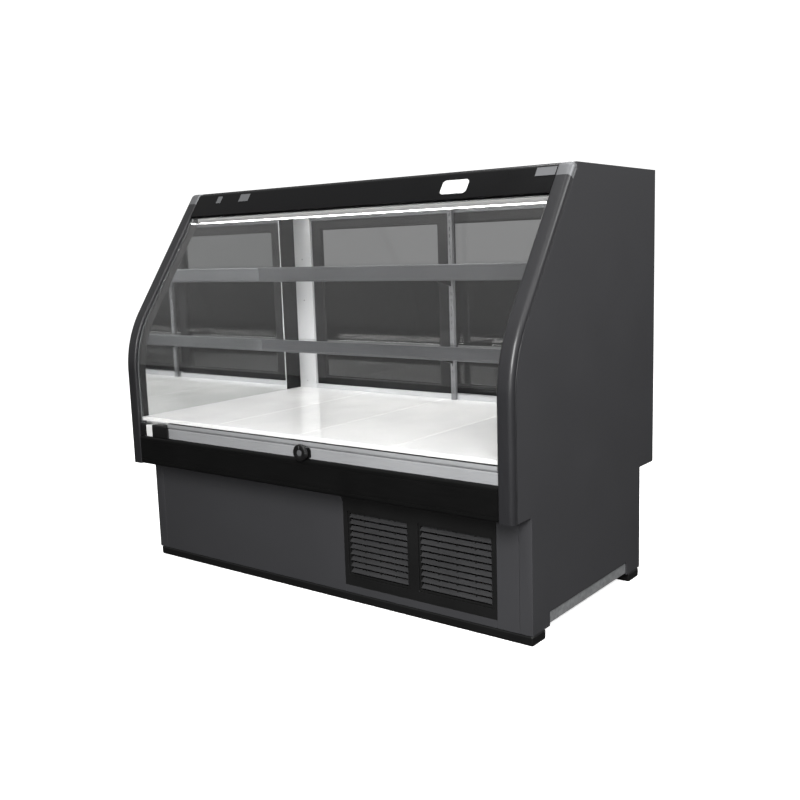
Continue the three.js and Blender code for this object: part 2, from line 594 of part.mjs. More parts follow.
function louvreGrille(x0, x1) {
  const left = x0 + WINDOW_CLEARANCE;
  const right = x1 - WINDOW_CLEARANCE;
  const bottom = WINDOW_BOTTOM + WINDOW_CLEARANCE;
  const top = WINDOW_TOP - WINDOW_CLEARANCE;
  const front = BASE_FRONT + 2;
  const rear = BASE_FRONT + 14;
  const edge = LOUVRE_BORDER;
  const inside = rectangle(left + edge, right - edge, bottom + edge, top - edge);
  const pieces = [frontSlab(roundedRectangle(left, right, bottom, top, 4.6), front, rear, [inside])];
  const pitch = (top - bottom - 2 * edge) / LOUVRE_COUNT;
  for (let i = 0; i < LOUVRE_COUNT; i += 1) {
    const blade = new THREE.BoxGeometry(right - left - edge, LOUVRE_DEPTH, LOUVRE_THICKNESS);
    blade.rotateX(LOUVRE_TILT);
    blade.translate((left + right) / 2, back((front + rear) / 2), bottom + edge + (i + 0.5) * pitch);
    pieces.push(blade);
  }
  for (const share of [0.25, 0.5, 0.75]) {
    const x = left + share * (right - left) - RIB_WIDTH / 2;
    pieces.push(board(x, x + RIB_WIDTH, rear - 4, rear, bottom + edge / 2, top - edge / 2));
  }
  return joined(pieces);
}

// ---- condensing unit on the base pan ----
function condensingUnit() {
  const floor = PAN_FLOOR + GAP;
  add("condenser_coil", board(GRILLE_LEFT + 14, GRILLE_RIGHT - 10, COIL_FRONT, COIL_BACK, floor, 304), FINS);
  add("condenser_fan", fan(), BLACK_METAL);
  add("fan_motor", fanMotor(floor), UNIT_BLACK);
  add("compressor", compressor(floor), UNIT_BLACK);
}

function fan() {
  const hub = turned([[0, -12], [FAN_HUB_RADIUS, -12], [FAN_HUB_RADIUS, 12], [0, 12]], 0, 0, 0, 1, 20);
  const blades = Array.from({ length: FAN_BLADES }, (_, i) => {
    const blade = new THREE.BoxGeometry(FAN_RADIUS - 12, 2.4, 48);
    blade.rotateX(0.5).translate(12 + (FAN_RADIUS - 12) / 2, 0, 0);
    blade.rotateY(i * Math.PI * 2 / FAN_BLADES);
    return blade.translate(0, back(0), 0);
  });
  return joined([hub, ...blades]).translate(UNIT_X, FAN_CENTRE, FAN_Z);
}

function fanMotor(floor) {
  const profile = [[0, 0], [8, 0], [8, 10], [38, 12], [38, 74], [30, 82], [0, 82]];
  const body = turned(profile, UNIT_X, FAN_CENTRE + 12 + GAP, FAN_Z, 1, 24);
  const post = board(UNIT_X - 22, UNIT_X + 22, FAN_CENTRE + 44, FAN_CENTRE + 68, floor + 4, FAN_Z);
  const foot = board(UNIT_X - 45, UNIT_X + 45, FAN_CENTRE + 30, FAN_CENTRE + 90, floor, floor + 5);
  return joined([body, post, foot]);
}

function compressor(floor) {
  const profile = [
    [0, 0], [70, 0], [82, 14], [82, 96], [88, 98], [88, 106], [82, 108], [80, 150], [66, 182], [36, 200],
    [0, 206],
  ];
  const can = turned(profile, 0, 0, 0, 1, 28).translate(0, -back(0), 0).rotateX(Math.PI / 2);
  can.translate(UNIT_X, back(480), floor + 14);
  const foot = board(UNIT_X - 105, UNIT_X + 105, 400, 560, floor, floor + 16);
  return joined([can, foot]);
}

// ---- control box on the rear of the base ----
function controls() {
  const front = BASE_BACK + GAP;
  const rear = front + BOX_DEPTH;
  const x0 = BOX_X - BOX_WIDTH / 2;
  const z = (BOX_BOTTOM + BOX_TOP) / 2;
  const rockerX = BOX_X + BOX_WIDTH / 4;
  const dialX = BOX_X - BOX_WIDTH / 4;
  const halfWidth = ROCKER_WIDTH / 2 + ROCKER_CLEARANCE;
  const halfHeight = ROCKER_HALF + ROCKER_CLEARANCE;
  const box = board(x0, x0 + BOX_WIDTH, front, rear, BOX_BOTTOM, BOX_TOP);
  const recess = board(-halfWidth, halfWidth, rear - 9, rear + 1, z - halfHeight, z + halfHeight);
  add("control_box", cut(box, [recess.translate(rockerX, 0, 0)]), BLACK_METAL);
  const dial = [[0, 0], [DIAL_RADIUS, 0], [DIAL_RADIUS - 2, 14], [DIAL_RADIUS - 4, 16], [0, 16]];
  add("thermostat_dial", turned(dial, dialX, rear + GAP, z, 1, 28), BLACK_PLASTIC);
  add("light_switch", rocker(rockerX, rear, z), BLACK_PLASTIC);
}

function rocker(x, depth, z) {
  const half = ROCKER_HALF;
  const profile = [[-2, -half], [4.5, -half], [2, 0], [4.5, half], [-2, half]];
  const shape = outline(profile);
  const piece = new THREE.ExtrudeGeometry(shape, { depth: ROCKER_WIDTH, bevelEnabled: false });
  const turn = new THREE.Matrix4().makeBasis(
    new THREE.Vector3(0, 1, 0), new THREE.Vector3(0, 0, 1), new THREE.Vector3(1, 0, 0));
  piece.applyMatrix4(turn).rotateX(-ROCKER_TILT);
  return piece.translate(x - ROCKER_WIDTH / 2, back(depth), z);
}

ends();
canopy();
frontBelowGlass();
lockKnob();
tiltingGlass();
tubAndDeck();
shelf("upper", UPPER_SHELF_Z, UPPER_RAIL_HEIGHT);
shelf("lower", LOWER_SHELF_Z, LOWER_RAIL_HEIGHT);
centreStandard();
rearFrame();
rearDoors();
baseShell();
condensingUnit();
controls();

export default group;
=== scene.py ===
"""Display showcase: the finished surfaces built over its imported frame. Metres, +Z up, customer side at -Y."""

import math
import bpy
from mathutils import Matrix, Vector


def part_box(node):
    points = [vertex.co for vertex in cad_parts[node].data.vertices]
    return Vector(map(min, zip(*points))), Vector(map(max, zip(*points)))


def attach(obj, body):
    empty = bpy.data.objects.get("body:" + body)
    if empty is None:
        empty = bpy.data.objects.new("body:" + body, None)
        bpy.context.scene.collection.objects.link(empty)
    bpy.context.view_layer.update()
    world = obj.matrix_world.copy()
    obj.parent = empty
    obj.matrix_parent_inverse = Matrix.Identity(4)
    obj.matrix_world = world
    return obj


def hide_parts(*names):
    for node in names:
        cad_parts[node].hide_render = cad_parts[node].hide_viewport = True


bl_info = {
    "name": "Glass Display Showcase",
    "version": (1, 0, 0),
    "blender": (4, 5, 0),
    "location": "3D View > Sidebar > Showcase",
    "description": "Builds a refrigerated counter showcase with leaning front glass, shelves and sliding rear doors",
    "category": "Object",
}

import bmesh
import bpy
from bpy.props import FloatProperty, FloatVectorProperty, IntProperty, PointerProperty
from mathutils import Matrix, Vector

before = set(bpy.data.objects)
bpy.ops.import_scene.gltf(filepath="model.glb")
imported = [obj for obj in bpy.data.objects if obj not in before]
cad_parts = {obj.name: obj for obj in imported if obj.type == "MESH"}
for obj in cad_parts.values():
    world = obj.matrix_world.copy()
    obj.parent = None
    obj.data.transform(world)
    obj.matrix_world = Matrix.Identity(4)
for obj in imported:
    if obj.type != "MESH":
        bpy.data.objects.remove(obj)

MM = 0.001
CABINET = "cabinet"
GLASS_BODY = "front_glass_assembly"
SIDES = ("left", "right")
RAIL_SLOPE_LENGTH = 95 * MM
SHARPEST_SMOOTH_EDGE = math.radians(40)


# ---- colours: sRGB hex, turned to linear in one place ----
def linear(hex_colour):
    channels = [int(hex_colour[i : i + 2], 16) / 255 for i in (1, 3, 5)]
    return tuple(c / 12.92 if c <= 0.04045 else ((c + 0.055) / 1.055) ** 2.4 for c in channels)


class CaseSizes(bpy.types.PropertyGroup):
    """Sizes of the visible detail"""

    lean: FloatProperty(
        name="Glass lean", description="Lean of the straight upper glass from upright",
        default=math.radians(34.5), subtype="ANGLE")
    straight_top: FloatProperty(
        name="Upright glass top", description="Height at which the glass starts to curve back",
        default=671.957 * MM, unit="LENGTH", subtype="DISTANCE")
    bend_radius: FloatProperty(
        name="Glass bend", description="Outer radius of the bend in the front outline",
        default=353.949 * MM, unit="LENGTH", subtype="DISTANCE")
    corner_radius: FloatProperty(
        name="Top corner", description="Radius where the slope meets the flat top",
        default=22 * MM, unit="LENGTH", subtype="DISTANCE")
    edge_round: FloatProperty(
        name="Edge round", description="Softened edge of sheet and board pieces",
        default=1.2 * MM, unit="LENGTH", subtype="DISTANCE")
    louvre_count: IntProperty(
        name="Louvres", description="Blades in each base grille", default=10, min=2)
    fin_pitch: FloatProperty(
        name="Fin pitch", description="Distance between condenser fins",
        default=4 * MM, unit="LENGTH", subtype="DISTANCE")
    knob_grips: IntProperty(
        name="Knob grips", description="Grip ribs round the lock knob", default=28, min=6)


class CaseColours(bpy.types.PropertyGroup):
    """Colours a shop would choose"""

    laminate: FloatVectorProperty(
        name="Laminate", description="End, top and base panels",
        default=linear("#38383a"), subtype="COLOR", min=0, max=1)
    trim: FloatVectorProperty(
        name="Edge trim", description="Moulding round the front of the ends",
        default=linear("#232325"), subtype="COLOR", min=0, max=1)
    interior: FloatVectorProperty(
        name="Interior", description="Deck and liner",
        default=linear("#e9e9e8"), subtype="COLOR", min=0, max=1)


def sizes():
    return bpy.context.scene.showcase_sizes


def colours():
    return bpy.context.scene.showcase_colours


# ---- nodes and materials ----
def node(tree, kind, inputs=None, **settings):
    """Adds a node, sets its settings, and fills or links its inputs by name or index."""
    made = tree.nodes.new(kind)
    for key, value in settings.items():
        setattr(made, key, value)
    for key, value in (inputs or {}).items():
        if isinstance(value, bpy.types.NodeSocket):
            tree.links.new(value, made.inputs[key])
        else:
            made.inputs[key].default_value = value
    return made


def new_material(name):
    found = bpy.data.materials.get(name)
    if found:
        return found, None
    made = bpy.data.materials.new(name)
    made.use_nodes = True
    made.node_tree.nodes.clear()
    return made, made.node_tree


def rgba(colour):
    return (colour[0], colour[1], colour[2], 1.0)


def grained(name, colour, roughness, metallic=0.0, grain=1.0, stretch=(1, 1, 1), tone=0.12, relief=0.02,
            wander=0.08, coat=0.0, patch=120.0, ior=1.5):
    """A surface with fine grain and broad patches. grain and patch are sizes in mm, relief is a depth in mm."""
    material, tree = new_material(name)
    if tree is None:
        return material
    place = node(tree, "ShaderNodeTexCoord").outputs["Object"]
    drawn = node(tree, "ShaderNodeMapping", {"Vector": place, "Scale": stretch}).outputs["Vector"]
    fine = node(tree, "ShaderNodeTexNoise", {"Vector": drawn, "Scale": 1 / (grain * MM), "Detail": 4.0})
    broad = node(tree, "ShaderNodeTexNoise", {"Vector": place, "Scale": 1 / (patch * MM), "Detail": 3.0})
    shade = node(tree, "ShaderNodeMath", {0: fine.outputs["Fac"], 1: broad.outputs["Fac"]}, operation="ADD")
    low = tuple(c * (1 - tone) for c in colour)
    high = tuple(min(1.0, c * (1 + tone)) for c in colour)
    # two noises added together seldom leave this range
    darkest, lightest = 0.6, 1.4
    mixed = node(tree, "ShaderNodeMapRange", {0: shade.outputs[0], 1: darkest, 2: lightest, 3: 0.0, 4: 1.0})
    tint = node(tree, "ShaderNodeMix", {0: mixed.outputs[0], "A": rgba(low), "B": rgba(high)}, data_type="RGBA")
    gloss = node(tree, "ShaderNodeMapRange",
                 {0: shade.outputs[0], 1: darkest, 2: lightest, 3: max(0.02, roughness - wander),
                  4: roughness + wander})
    bump = node(tree, "ShaderNodeBump", {"Height": fine.outputs["Fac"], "Distance": relief * MM, "Strength": 1.0})
    shader = node(tree, "ShaderNodeBsdfPrincipled",
                  {"Base Color": tint.outputs["Result"], "Roughness": gloss.outputs[0], "Metallic": metallic,
                   "Normal": bump.outputs["Normal"], "Coat Weight": coat, "Coat Roughness": 0.08, "IOR": ior})
    node(tree, "ShaderNodeOutputMaterial", {"Surface": shader.outputs[0]})
    return material


def pane(name, clear, roughness, smear=0.01):
    """Float glass: bends and mirrors as glass does, with a faint wiped film, and lets lamp light straight in."""
    material, tree = new_material(name)
    if tree is None:
        return material
    place = node(tree, "ShaderNodeTexCoord").outputs["Object"]
    wiped = node(tree, "ShaderNodeTexNoise", {"Vector": place, "Scale": 6.0, "Detail": 5.0, "Distortion": 1.2})
    clean, smeared = 0.45, 0.75
    film = node(tree, "ShaderNodeMapRange",
                {0: wiped.outputs["Fac"], 1: clean, 2: smeared, 3: roughness, 4: roughness + smear})
    glass = node(tree, "ShaderNodeBsdfPrincipled",
                 {"Base Color": rgba(clear), "Roughness": film.outputs[0], "Transmission Weight": 1.0, "IOR": 1.5})
    open_to_lamps = node(tree, "ShaderNodeBsdfTransparent", {"Color": rgba(clear)})
    ray = node(tree, "ShaderNodeLightPath")
    mix = node(tree, "ShaderNodeMixShader",
               {0: ray.outputs["Is Shadow Ray"], 1: glass.outputs[0], 2: open_to_lamps.outputs[0]})
    node(tree, "ShaderNodeOutputMaterial", {"Surface": mix.outputs[0]})
    return material


def laminate():
    # high-pressure laminate, pressed against a matt plate: charcoal with a soft, faintly pebbled sheen
    return grained("charcoal_laminate", colours().laminate, 0.55, grain=2.2, tone=0.07, relief=0.03, patch=260,
                   ior=1.38)


def edge_moulding():
    # extruded semi-gloss PVC moulding: deep grey, drawing a broad soft highlight along its rounded edge
    return grained("semi_gloss_pvc_moulding", colours().trim, 0.42, grain=6, stretch=(1, 1, 0.15), tone=0.1,
                   relief=0.01, wander=0.05, coat=0.15)


def black_enamel():
    # stoved semi-gloss enamel on sheet steel: near black with slight orange peel
    return grained("black_stoved_enamel", linear("#0b0b0c"), 0.34, grain=3.0, tone=0.1, relief=0.02, ior=1.25)


def rolled_enamel():
    # satin black enamel on rolled steel blades: the rolled lips catch thin lines of light
    return grained("black_rolled_blades", linear("#39393a"), 0.25, grain=4, stretch=(0.1, 1, 1), tone=0.15,
                   relief=0.015, coat=0.4)


def machine_enamel():
    # air-dried black enamel on pressed steel: glossy, slightly wavy
    return grained("black_machine_enamel", linear("#18191a"), 0.28, grain=9, tone=0.12, relief=0.06, coat=0.3)


def powder_coat():
    # polyester powder coat: black with a fine even stipple, drawn coarser than life so that it shows
    return grained("black_powder_coat", linear("#141414"), 0.42, grain=1.2, tone=0.15, relief=0.03)


def vinyl():
    # extruded soft vinyl: deep black, matt, with faint lengthwise drawing marks
    return grained("soft_black_vinyl", linear("#0a0a0a"), 0.5, grain=4, stretch=(0.05, 1, 1), tone=0.18, relief=0.02,
                   ior=1.3)


def satin_aluminium():
    # satin anodised aluminium extrusion: pale grey, brushed along its length
    return grained("satin_anodised_aluminium", linear("#bdbec0"), 0.36, metallic=0.45, grain=0.9,
                   stretch=(0.02, 1, 1), tone=0.07, relief=0.004, wander=0.05)


def upright_aluminium():
    # the same extrusion standing up, brushed along Z
    return grained("satin_anodised_upright", linear("#d0d1d2"), 0.34, metallic=0.4, grain=0.9,
                   stretch=(1, 1, 0.02), tone=0.07, relief=0.004, wander=0.05)


def post_aluminium():
    # mill-finish aluminium on the middle post and head track, and the same pale metal on the rail pieces and corner
    # caps where it paints highlights: duller than the anodised frame
    return grained("mill_finish_aluminium_and_painted_highlights", linear("#77787a"), 0.45, metallic=0.5, grain=1.1,
                   stretch=(1, 1, 0.03), tone=0.1, relief=0.004, wander=0.05)


def ticket_aluminium():
    # bronze-grey anodising on the shelf extrusions, its colour darkened as painted shade for the shadow the rails sit
    # in: soft, drawn along its length
    return grained("shade_darkened_anodised_ticket_rail", linear("#68696b"), 0.38, metallic=0.85, grain=1.2,
                   stretch=(0.02, 1, 1), tone=0.12, relief=0.004, wander=0.06)


def black_anodised():
    # black anodised aluminium: satin, with a slight drawn grain standing up
    return grained("black_anodised_aluminium", linear("#1d1d1e"), 0.36, metallic=0.5, grain=1.0,
                   stretch=(1, 1, 0.03), tone=0.15, relief=0.004, wander=0.05)


def white_enamel():
    # baked white enamel on steel: clean and glossy, very slightly uneven
    return grained("white_baked_enamel", colours().interior, 0.22, grain=5, tone=0.015, relief=0.015, wander=0.05,
                   coat=0.3)


def liner():
    # moulded ABS liner: white with a light haze
    return grained("white_abs_liner", colours().interior, 0.35, grain=2, tone=0.02, relief=0.02)


def moulded_black():
    # injection-moulded ABS: black, finely textured
    return grained("black_moulded_abs", linear("#131313"), 0.36, grain=0.8, tone=0.12, relief=0.02)


def rubber():
    # extruded gasket rubber: black and dull
    return grained("black_gasket_rubber", linear("#0b0b0b"), 0.7, grain=1.0, tone=0.2, relief=0.03)


def galvanised():
    # hot-dip galvanised sheet: pale grey with broad soft crystals
    material, tree = new_material("hot_dip_galvanised_sheet")
    if tree is None:
        return material
    place = node(tree, "ShaderNodeTexCoord").outputs["Object"]
    crystal, smooth, rough = 9 * MM, 0.36, 0.5
    crystals = node(tree, "ShaderNodeTexVoronoi", {"Vector": place, "Scale": 1 / crystal, "Randomness": 1.0})
    tone = node(tree, "ShaderNodeMix",
                {0: crystals.outputs["Color"], "A": rgba(linear("#a9abad")), "B": rgba(linear("#c6c8c9"))},
                data_type="RGBA")
    gloss = node(tree, "ShaderNodeMapRange",
                 {0: crystals.outputs["Distance"], 1: 0.0, 2: 0.8, 3: smooth, 4: rough})
    shader = node(tree, "ShaderNodeBsdfPrincipled",
                  {"Base Color": tone.outputs["Result"], "Roughness": gloss.outputs[0], "Metallic": 0.7})
    node(tree, "ShaderNodeOutputMaterial", {"Surface": shader.outputs[0]})
    return material


def fin_stock():
    # bare aluminium fin stock: bright, with a slight dust haze
    return grained("bare_aluminium_fins", linear("#c8cacc"), 0.3, metallic=1.0, grain=12, tone=0.15, relief=0.02)


def copper():
    # drawn copper tube: warm, a little dulled
    return grained("drawn_copper", linear("#9a6a50"), 0.32, metallic=1.0, grain=8, tone=0.2, relief=0.01)


def zinc_screw():
    # zinc-plated steel: bright grey screw heads
    return grained("zinc_plated_steel", linear("#c9cacb"), 0.25, metallic=1.0, grain=2, tone=0.1, relief=0.005)


def silvering():
    # silvered mirror sheet: clear reflection, very slightly grey and hazed
    return grained("silvered_mirror", linear("#e0e1e1"), 0.035, metallic=1.0, grain=90, tone=0.015, relief=0.0,
                   wander=0.015, patch=300)


def clear_pane():
    # toughened float glass: colourless to look through, with a soft mirror
    return pane("clear_toughened_glass", linear("#fbfbfb"), 0.0)


def shelf_pane():
    # polished shelf glass, cool and clear
    return pane("polished_shelf_glass", linear("#f7f7f7"), 0.0)


def smoked_pane():
    # smoked sliding-door glass: the room behind shows as mid grey
    return pane("smoked_door_glass", linear("#dcdddd"), 0.0)


def glass_edge():
    # ground and polished glass edge: a dark, slightly wavy line, as little light leaves it towards the eye
    return grained("polished_glass_edge", linear("#474a4a"), 0.2, grain=3, tone=0.2, relief=0.005, coat=0.2)


def lamp_glow(name, power):
    # opal acrylic over a lit tube: even white light with slightly dimmer ends
    material, tree = new_material(name)
    if tree is None:
        return material
    place = node(tree, "ShaderNodeTexCoord").outputs["Object"]
    split = node(tree, "ShaderNodeSeparateXYZ", {0: place})
    away = node(tree, "ShaderNodeMath", {0: split.outputs["X"]}, operation="ABSOLUTE")
    dim_from, end, end_share = 0.62, 0.71, 0.55
    fade = node(tree, "ShaderNodeMapRange",
                {0: away.outputs[0], 1: dim_from, 2: end, 3: power, 4: power * end_share})
    shader = node(tree, "ShaderNodeBsdfPrincipled",
                  {"Base Color": rgba(linear("#f6f6f2")), "Roughness": 0.4,
                   "Emission Color": rgba(linear("#fffefc")), "Emission Strength": fade.outputs[0]})
    node(tree, "ShaderNodeOutputMaterial", {"Surface": shader.outputs[0]})
    return material


def skirt_glow(bottom, top):
    # opal acrylic skirt in front of the tube: glows softly, brightest just under the rail
    material, tree = new_material("opal_lamp_skirt")
    if tree is None:
        return material
    place = node(tree, "ShaderNodeTexCoord").outputs["Object"]
    split = node(tree, "ShaderNodeSeparateXYZ", {0: place})
    dim, bright = 0.06, 0.6
    fade = node(tree, "ShaderNodeMapRange",
                {0: split.outputs["Z"], 1: bottom + 4 * MM, 2: top, 3: dim, 4: bright},
                interpolation_type="SMOOTHSTEP")
    shader = node(tree, "ShaderNodeBsdfPrincipled",
                  {"Base Color": rgba(linear("#7c7c7b")), "Roughness": 0.45,
                   "Emission Color": rgba(linear("#fffefc")), "Emission Strength": fade.outputs[0]})
    node(tree, "ShaderNodeOutputMaterial", {"Surface": shader.outputs[0]})
    return material


# ---- meshes ----
def placed(name, data):
    """A new object that holds the data."""
    made = bpy.data.objects.new(name, data)
    bpy.context.scene.collection.objects.link(made)
    return made


def mesh_of(name, bm):
    """Merges doubles, turns the faces outward and leaves a mesh."""
    bmesh.ops.remove_doubles(bm, verts=bm.verts, dist=1e-6)
    bmesh.ops.recalc_face_normals(bm, faces=bm.faces)
    mesh = bpy.data.meshes.new(name)
    bm.to_mesh(mesh)
    bm.free()
    return mesh


def piece_from(name, bm, material, slot, stands_for=None, body=CABINET, **finish):
    """Turns a bmesh into a finished piece that rides on a body and may stand for a node."""
    return settle(placed(name, mesh_of(name, bm)), material, slot, stands_for, body, **finish)


def settle(piece, material, slot, stands_for=None, body=CABINET, bevel=0.0, segments=2, smooth_angle=35.0):
    mesh = piece.data
    if not mesh.materials:
        mesh.materials.append(material)
    mesh.shade_smooth()
    mesh.set_sharp_from_angle(angle=math.radians(smooth_angle))
    if bevel:
        soft = piece.modifiers.new("edge", "BEVEL")
        soft.width = bevel
        soft.segments = segments
        soft.limit_method = "ANGLE"
        soft.angle_limit = SHARPEST_SMOOTH_EDGE
        soft.harden_normals = True
    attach(piece, body)
    if stands_for:
        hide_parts(stands_for)
    return piece


def add_box(bm, lo, hi):
    corners = [bm.verts.new((x, y, z)) for z in (lo[2], hi[2]) for y in (lo[1], hi[1]) for x in (lo[0], hi[0])]
    for face in ((0, 2, 3, 1), (4, 5, 7, 6), (0, 1, 5, 4), (2, 6, 7, 3), (0, 4, 6, 2), (1, 3, 7, 5)):
        bm.faces.new([corners[i] for i in face])


def loft(bm, rings, capped=True):
    """Skins between rings of as many points each, closed at both ends unless they join up."""
    for a, b in zip(rings, rings[1:]):
        for i in range(len(a)):
            j = (i + 1) % len(a)
            bm.faces.new((a[i], a[j], b[j], b[i]))
    if capped:
        bm.faces.new(rings[0])
        bm.faces.new(rings[-1])


def add_prism_x(bm, outline, x0, x1):
    """A closed (y, z) outline drawn along X."""
    loft(bm, [[bm.verts.new((x, *p)) for p in outline] for x in (x0, x1)])


def add_prism_y(bm, outline, y0, y1):
    """A closed (x, z) outline drawn along Y."""
    loft(bm, [[bm.verts.new((p[0], y, p[1])) for p in outline] for y in (y0, y1)])


def bars(outline, *ends):
    """Lengths of one (y, z) section along X, each between its two ends."""
    bm = bmesh.new()
    for x0, x1 in ends:
        add_prism_x(bm, outline, x0, x1)
    return bm


def boxes(*corners):
    """Boxes, each given by its lowest and highest corner."""
    bm = bmesh.new()
    for lo, hi in corners:
        add_box(bm, lo, hi)
    return bm


def add_turned(bm, profile, centre, axis=(0, 1, 0), segments=48):
    """A lathe shape: profile is (radius, distance along axis) in mm, from end to end."""
    axis = Vector(axis)
    side = axis.orthogonal().normalized()
    other = axis.cross(side)
    turn = [2 * math.pi * i / segments for i in range(segments)]
    rings = []
    for radius, along in profile:
        base = Vector(centre) + axis * along * MM
        rings.append([bm.verts.new(base + radius * MM * (side * math.cos(a) + other * math.sin(a)))
                      for a in (turn if radius else turn[:1])])
    for a, b in zip(rings, rings[1:]):
        for i in range(segments):
            j = (i + 1) % segments
            corners = list(dict.fromkeys([a[i % len(a)], a[j % len(a)], b[j % len(b)], b[i % len(b)]]))
            if len(corners) > 2:
                bm.faces.new(corners)
    for ring in (rings[0], rings[-1]):
        if len(ring) > 2:
            bm.faces.new(ring)


def add_ribbed(bm, x, z, rings, grips, depth):
    """A knob about a line along Y: rings are (radius, y, 1 where it has grip ribs of the given depth)."""
    turn = [2 * math.pi * i / (grips * 6) for i in range(grips * 6)]
    made = []
    for radius, y, ribbed in rings:
        reach = [radius + depth * ribbed * (math.cos(a * grips) - 1) for a in turn]
        made.append([bm.verts.new((x + r * math.cos(a), y, z + r * math.sin(a))) for a, r in zip(turn, reach)])
    loft(bm, made)


def add_tube(bm, path, radius, segments=12):
    """A round tube through points, with closed ends."""
    points = [Vector(p) for p in path]
    rings = []
    up = Vector((0.21, 0.37, 0.9)).normalized()
    for i, point in enumerate(points):
        ahead = (points[min(i + 1, len(points) - 1)] - points[max(i - 1, 0)]).normalized()
        side = ahead.cross(up).normalized()
        other = side.cross(ahead)
        rings.append([bm.verts.new(point + radius * (side * math.cos(a) + other * math.sin(a)))
                      for a in (2 * math.pi * k / segments for k in range(segments))])
    loft(bm, rings)


def arc(centre, radius, start, sweep=90, steps=8):
    """Points round part of a circle, from start through sweep, in degrees."""
    turn = [math.radians(start + sweep * i / steps) for i in range(steps + 1)]
    return [(centre[0] + radius * math.cos(a), centre[1] + radius * math.sin(a)) for a in turn]


def rounded(a0, a1, b0, b1, radius, steps=6, corners=(True, True, True, True)):
    """A rectangle with rounded corners, from the lower left round to the upper left."""
    points = []
    spots = ((a0, b0, 1, 1, 180), (a1, b0, -1, 1, 270), (a1, b1, -1, -1, 0), (a0, b1, 1, -1, 90))
    for (a, b, sa, sb, start), on in zip(spots, corners):
        points += arc((a + sa * radius, b + sb * radius), radius, start, 90, steps) if on else [(a, b)]
    return points


def add_frame(bm, outer, inner, y0, y1):
    """A flat ring between two outlines with as many points each, from y0 to y1."""
    rings = [[bm.verts.new((u, y, v)) for u, v in ring] for ring in (outer, inner) for y in (y0, y1)]
    loft(bm, [rings[i] for i in (0, 1, 3, 2, 0)], capped=False)


def soften(node_name, material, slot, bevel=None, **finish):
    """The CAD node's own shape, with shared corners and whole flat faces, and rounded edges."""
    bm = bmesh.new()
    bm.from_mesh(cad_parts[node_name].data)
    bmesh.ops.remove_doubles(bm, verts=bm.verts, dist=1e-5)
    bmesh.ops.dissolve_limit(bm, angle_limit=math.radians(1), verts=bm.verts, edges=bm.edges)
    return piece_from(f"{node_name}_finished", bm, material, slot, node_name,
                      bevel=sizes().edge_round if bevel is None else bevel, **finish)


# ---- the leaning front outline ----
def front_plane():
    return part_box("edge_trim_right")[0].y


def slope_point(run, inset):
    """A point on the slope: run up it from the end of the bend, then inset square to it, as (y, z)."""
    s = sizes()
    y = front_plane() + s.bend_radius * (1 - math.cos(s.lean))
    z = s.straight_top + s.bend_radius * math.sin(s.lean)
    return (y + run * math.sin(s.lean) + inset * math.cos(s.lean),
            z + run * math.cos(s.lean) - inset * math.sin(s.lean))


def run_to(height, inset):
    """How far up the slope a height is reached, at an inset."""
    s = sizes()
    start = s.straight_top + s.bend_radius * math.sin(s.lean)
    return (height - start + inset * math.sin(s.lean)) / math.cos(s.lean)


def bend_points(inset, bottom, steps=28):
    """Upright front and bend, inset, from the bottom up to the start of the slope."""
    s = sizes()
    front = front_plane()
    return [(front + inset, bottom), *arc((front + s.bend_radius, s.straight_top), s.bend_radius - inset, 180,
                                          -math.degrees(s.lean), steps)]


def corner_centre():
    """The middle of the rounded corner between slope and flat top, as (y, z)."""
    radius = sizes().corner_radius
    return slope_point(run_to(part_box("canopy_top")[1].z - radius, radius), radius)


def corner_points(inset):
    """The rounded corner between slope and flat top."""
    lean = math.degrees(sizes().lean)
    return arc(corner_centre(), sizes().corner_radius - inset, 180 - lean, lean - 90)


def rail_start():
    """Where the canopy rail starts on the slope, as a run up it."""
    return run_to(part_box("canopy_top")[1].z, 0) - RAIL_SLOPE_LENGTH


# ---- repeated shapes, placed by Geometry Nodes ----
def repeated(name, shape, points, material, slot, stands_for=None, turn=(0.0, 0.0, 0.0)):
    """Instances a small shape on every point, turned by the named input, and leaves one plain mesh."""
    cloud = bpy.data.meshes.new(f"{name}_points")
    cloud.from_pydata([tuple(p) for p in points], [], [])
    holder = placed(f"{name}_holder", cloud)
    seed = placed(f"{name}_seed", mesh_of(f"{name}_seed", shape))
    tree = bpy.data.node_groups.new(f"{name}_layout", "GeometryNodeTree")
    for label, kind in (("Places", "NodeSocketGeometry"), ("Piece", "NodeSocketObject"), ("Turn", "NodeSocketVector"),
                        ("Finish", "NodeSocketMaterial")):
        tree.interface.new_socket(label, in_out="INPUT", socket_type=kind)
    tree.interface.new_socket("Shape", in_out="OUTPUT", socket_type="NodeSocketGeometry")
    given = node(tree, "NodeGroupInput")
    single = node(tree, "GeometryNodeObjectInfo", {"Object": given.outputs["Piece"]})
    spread = node(tree, "GeometryNodeInstanceOnPoints",
                  {"Points": given.outputs["Places"], "Instance": single.outputs["Geometry"],
                   "Rotation": given.outputs["Turn"]})
    real = node(tree, "GeometryNodeRealizeInstances", {0: spread.outputs[0]})
    painted = node(tree, "GeometryNodeSetMaterial", {0: real.outputs[0], "Material": given.outputs["Finish"]})
    node(tree, "NodeGroupOutput", {0: painted.outputs[0]})
    layout = holder.modifiers.new("layout", "NODES")
    layout.node_group = tree
    ids = {item.name: item.identifier for item in tree.interface.items_tree if item.in_out == "INPUT"}
    for label, value in (("Piece", seed), ("Turn", turn), ("Finish", material)):
        layout[ids[label]] = value
    bpy.context.view_layer.update()
    ready = holder.evaluated_get(bpy.context.evaluated_depsgraph_get())
    mesh = bpy.data.meshes.new_from_object(ready)
    mesh.name = name
    for spare in (holder, seed):
        bpy.data.objects.remove(spare)
    return settle(placed(name, mesh), material, slot, stands_for)


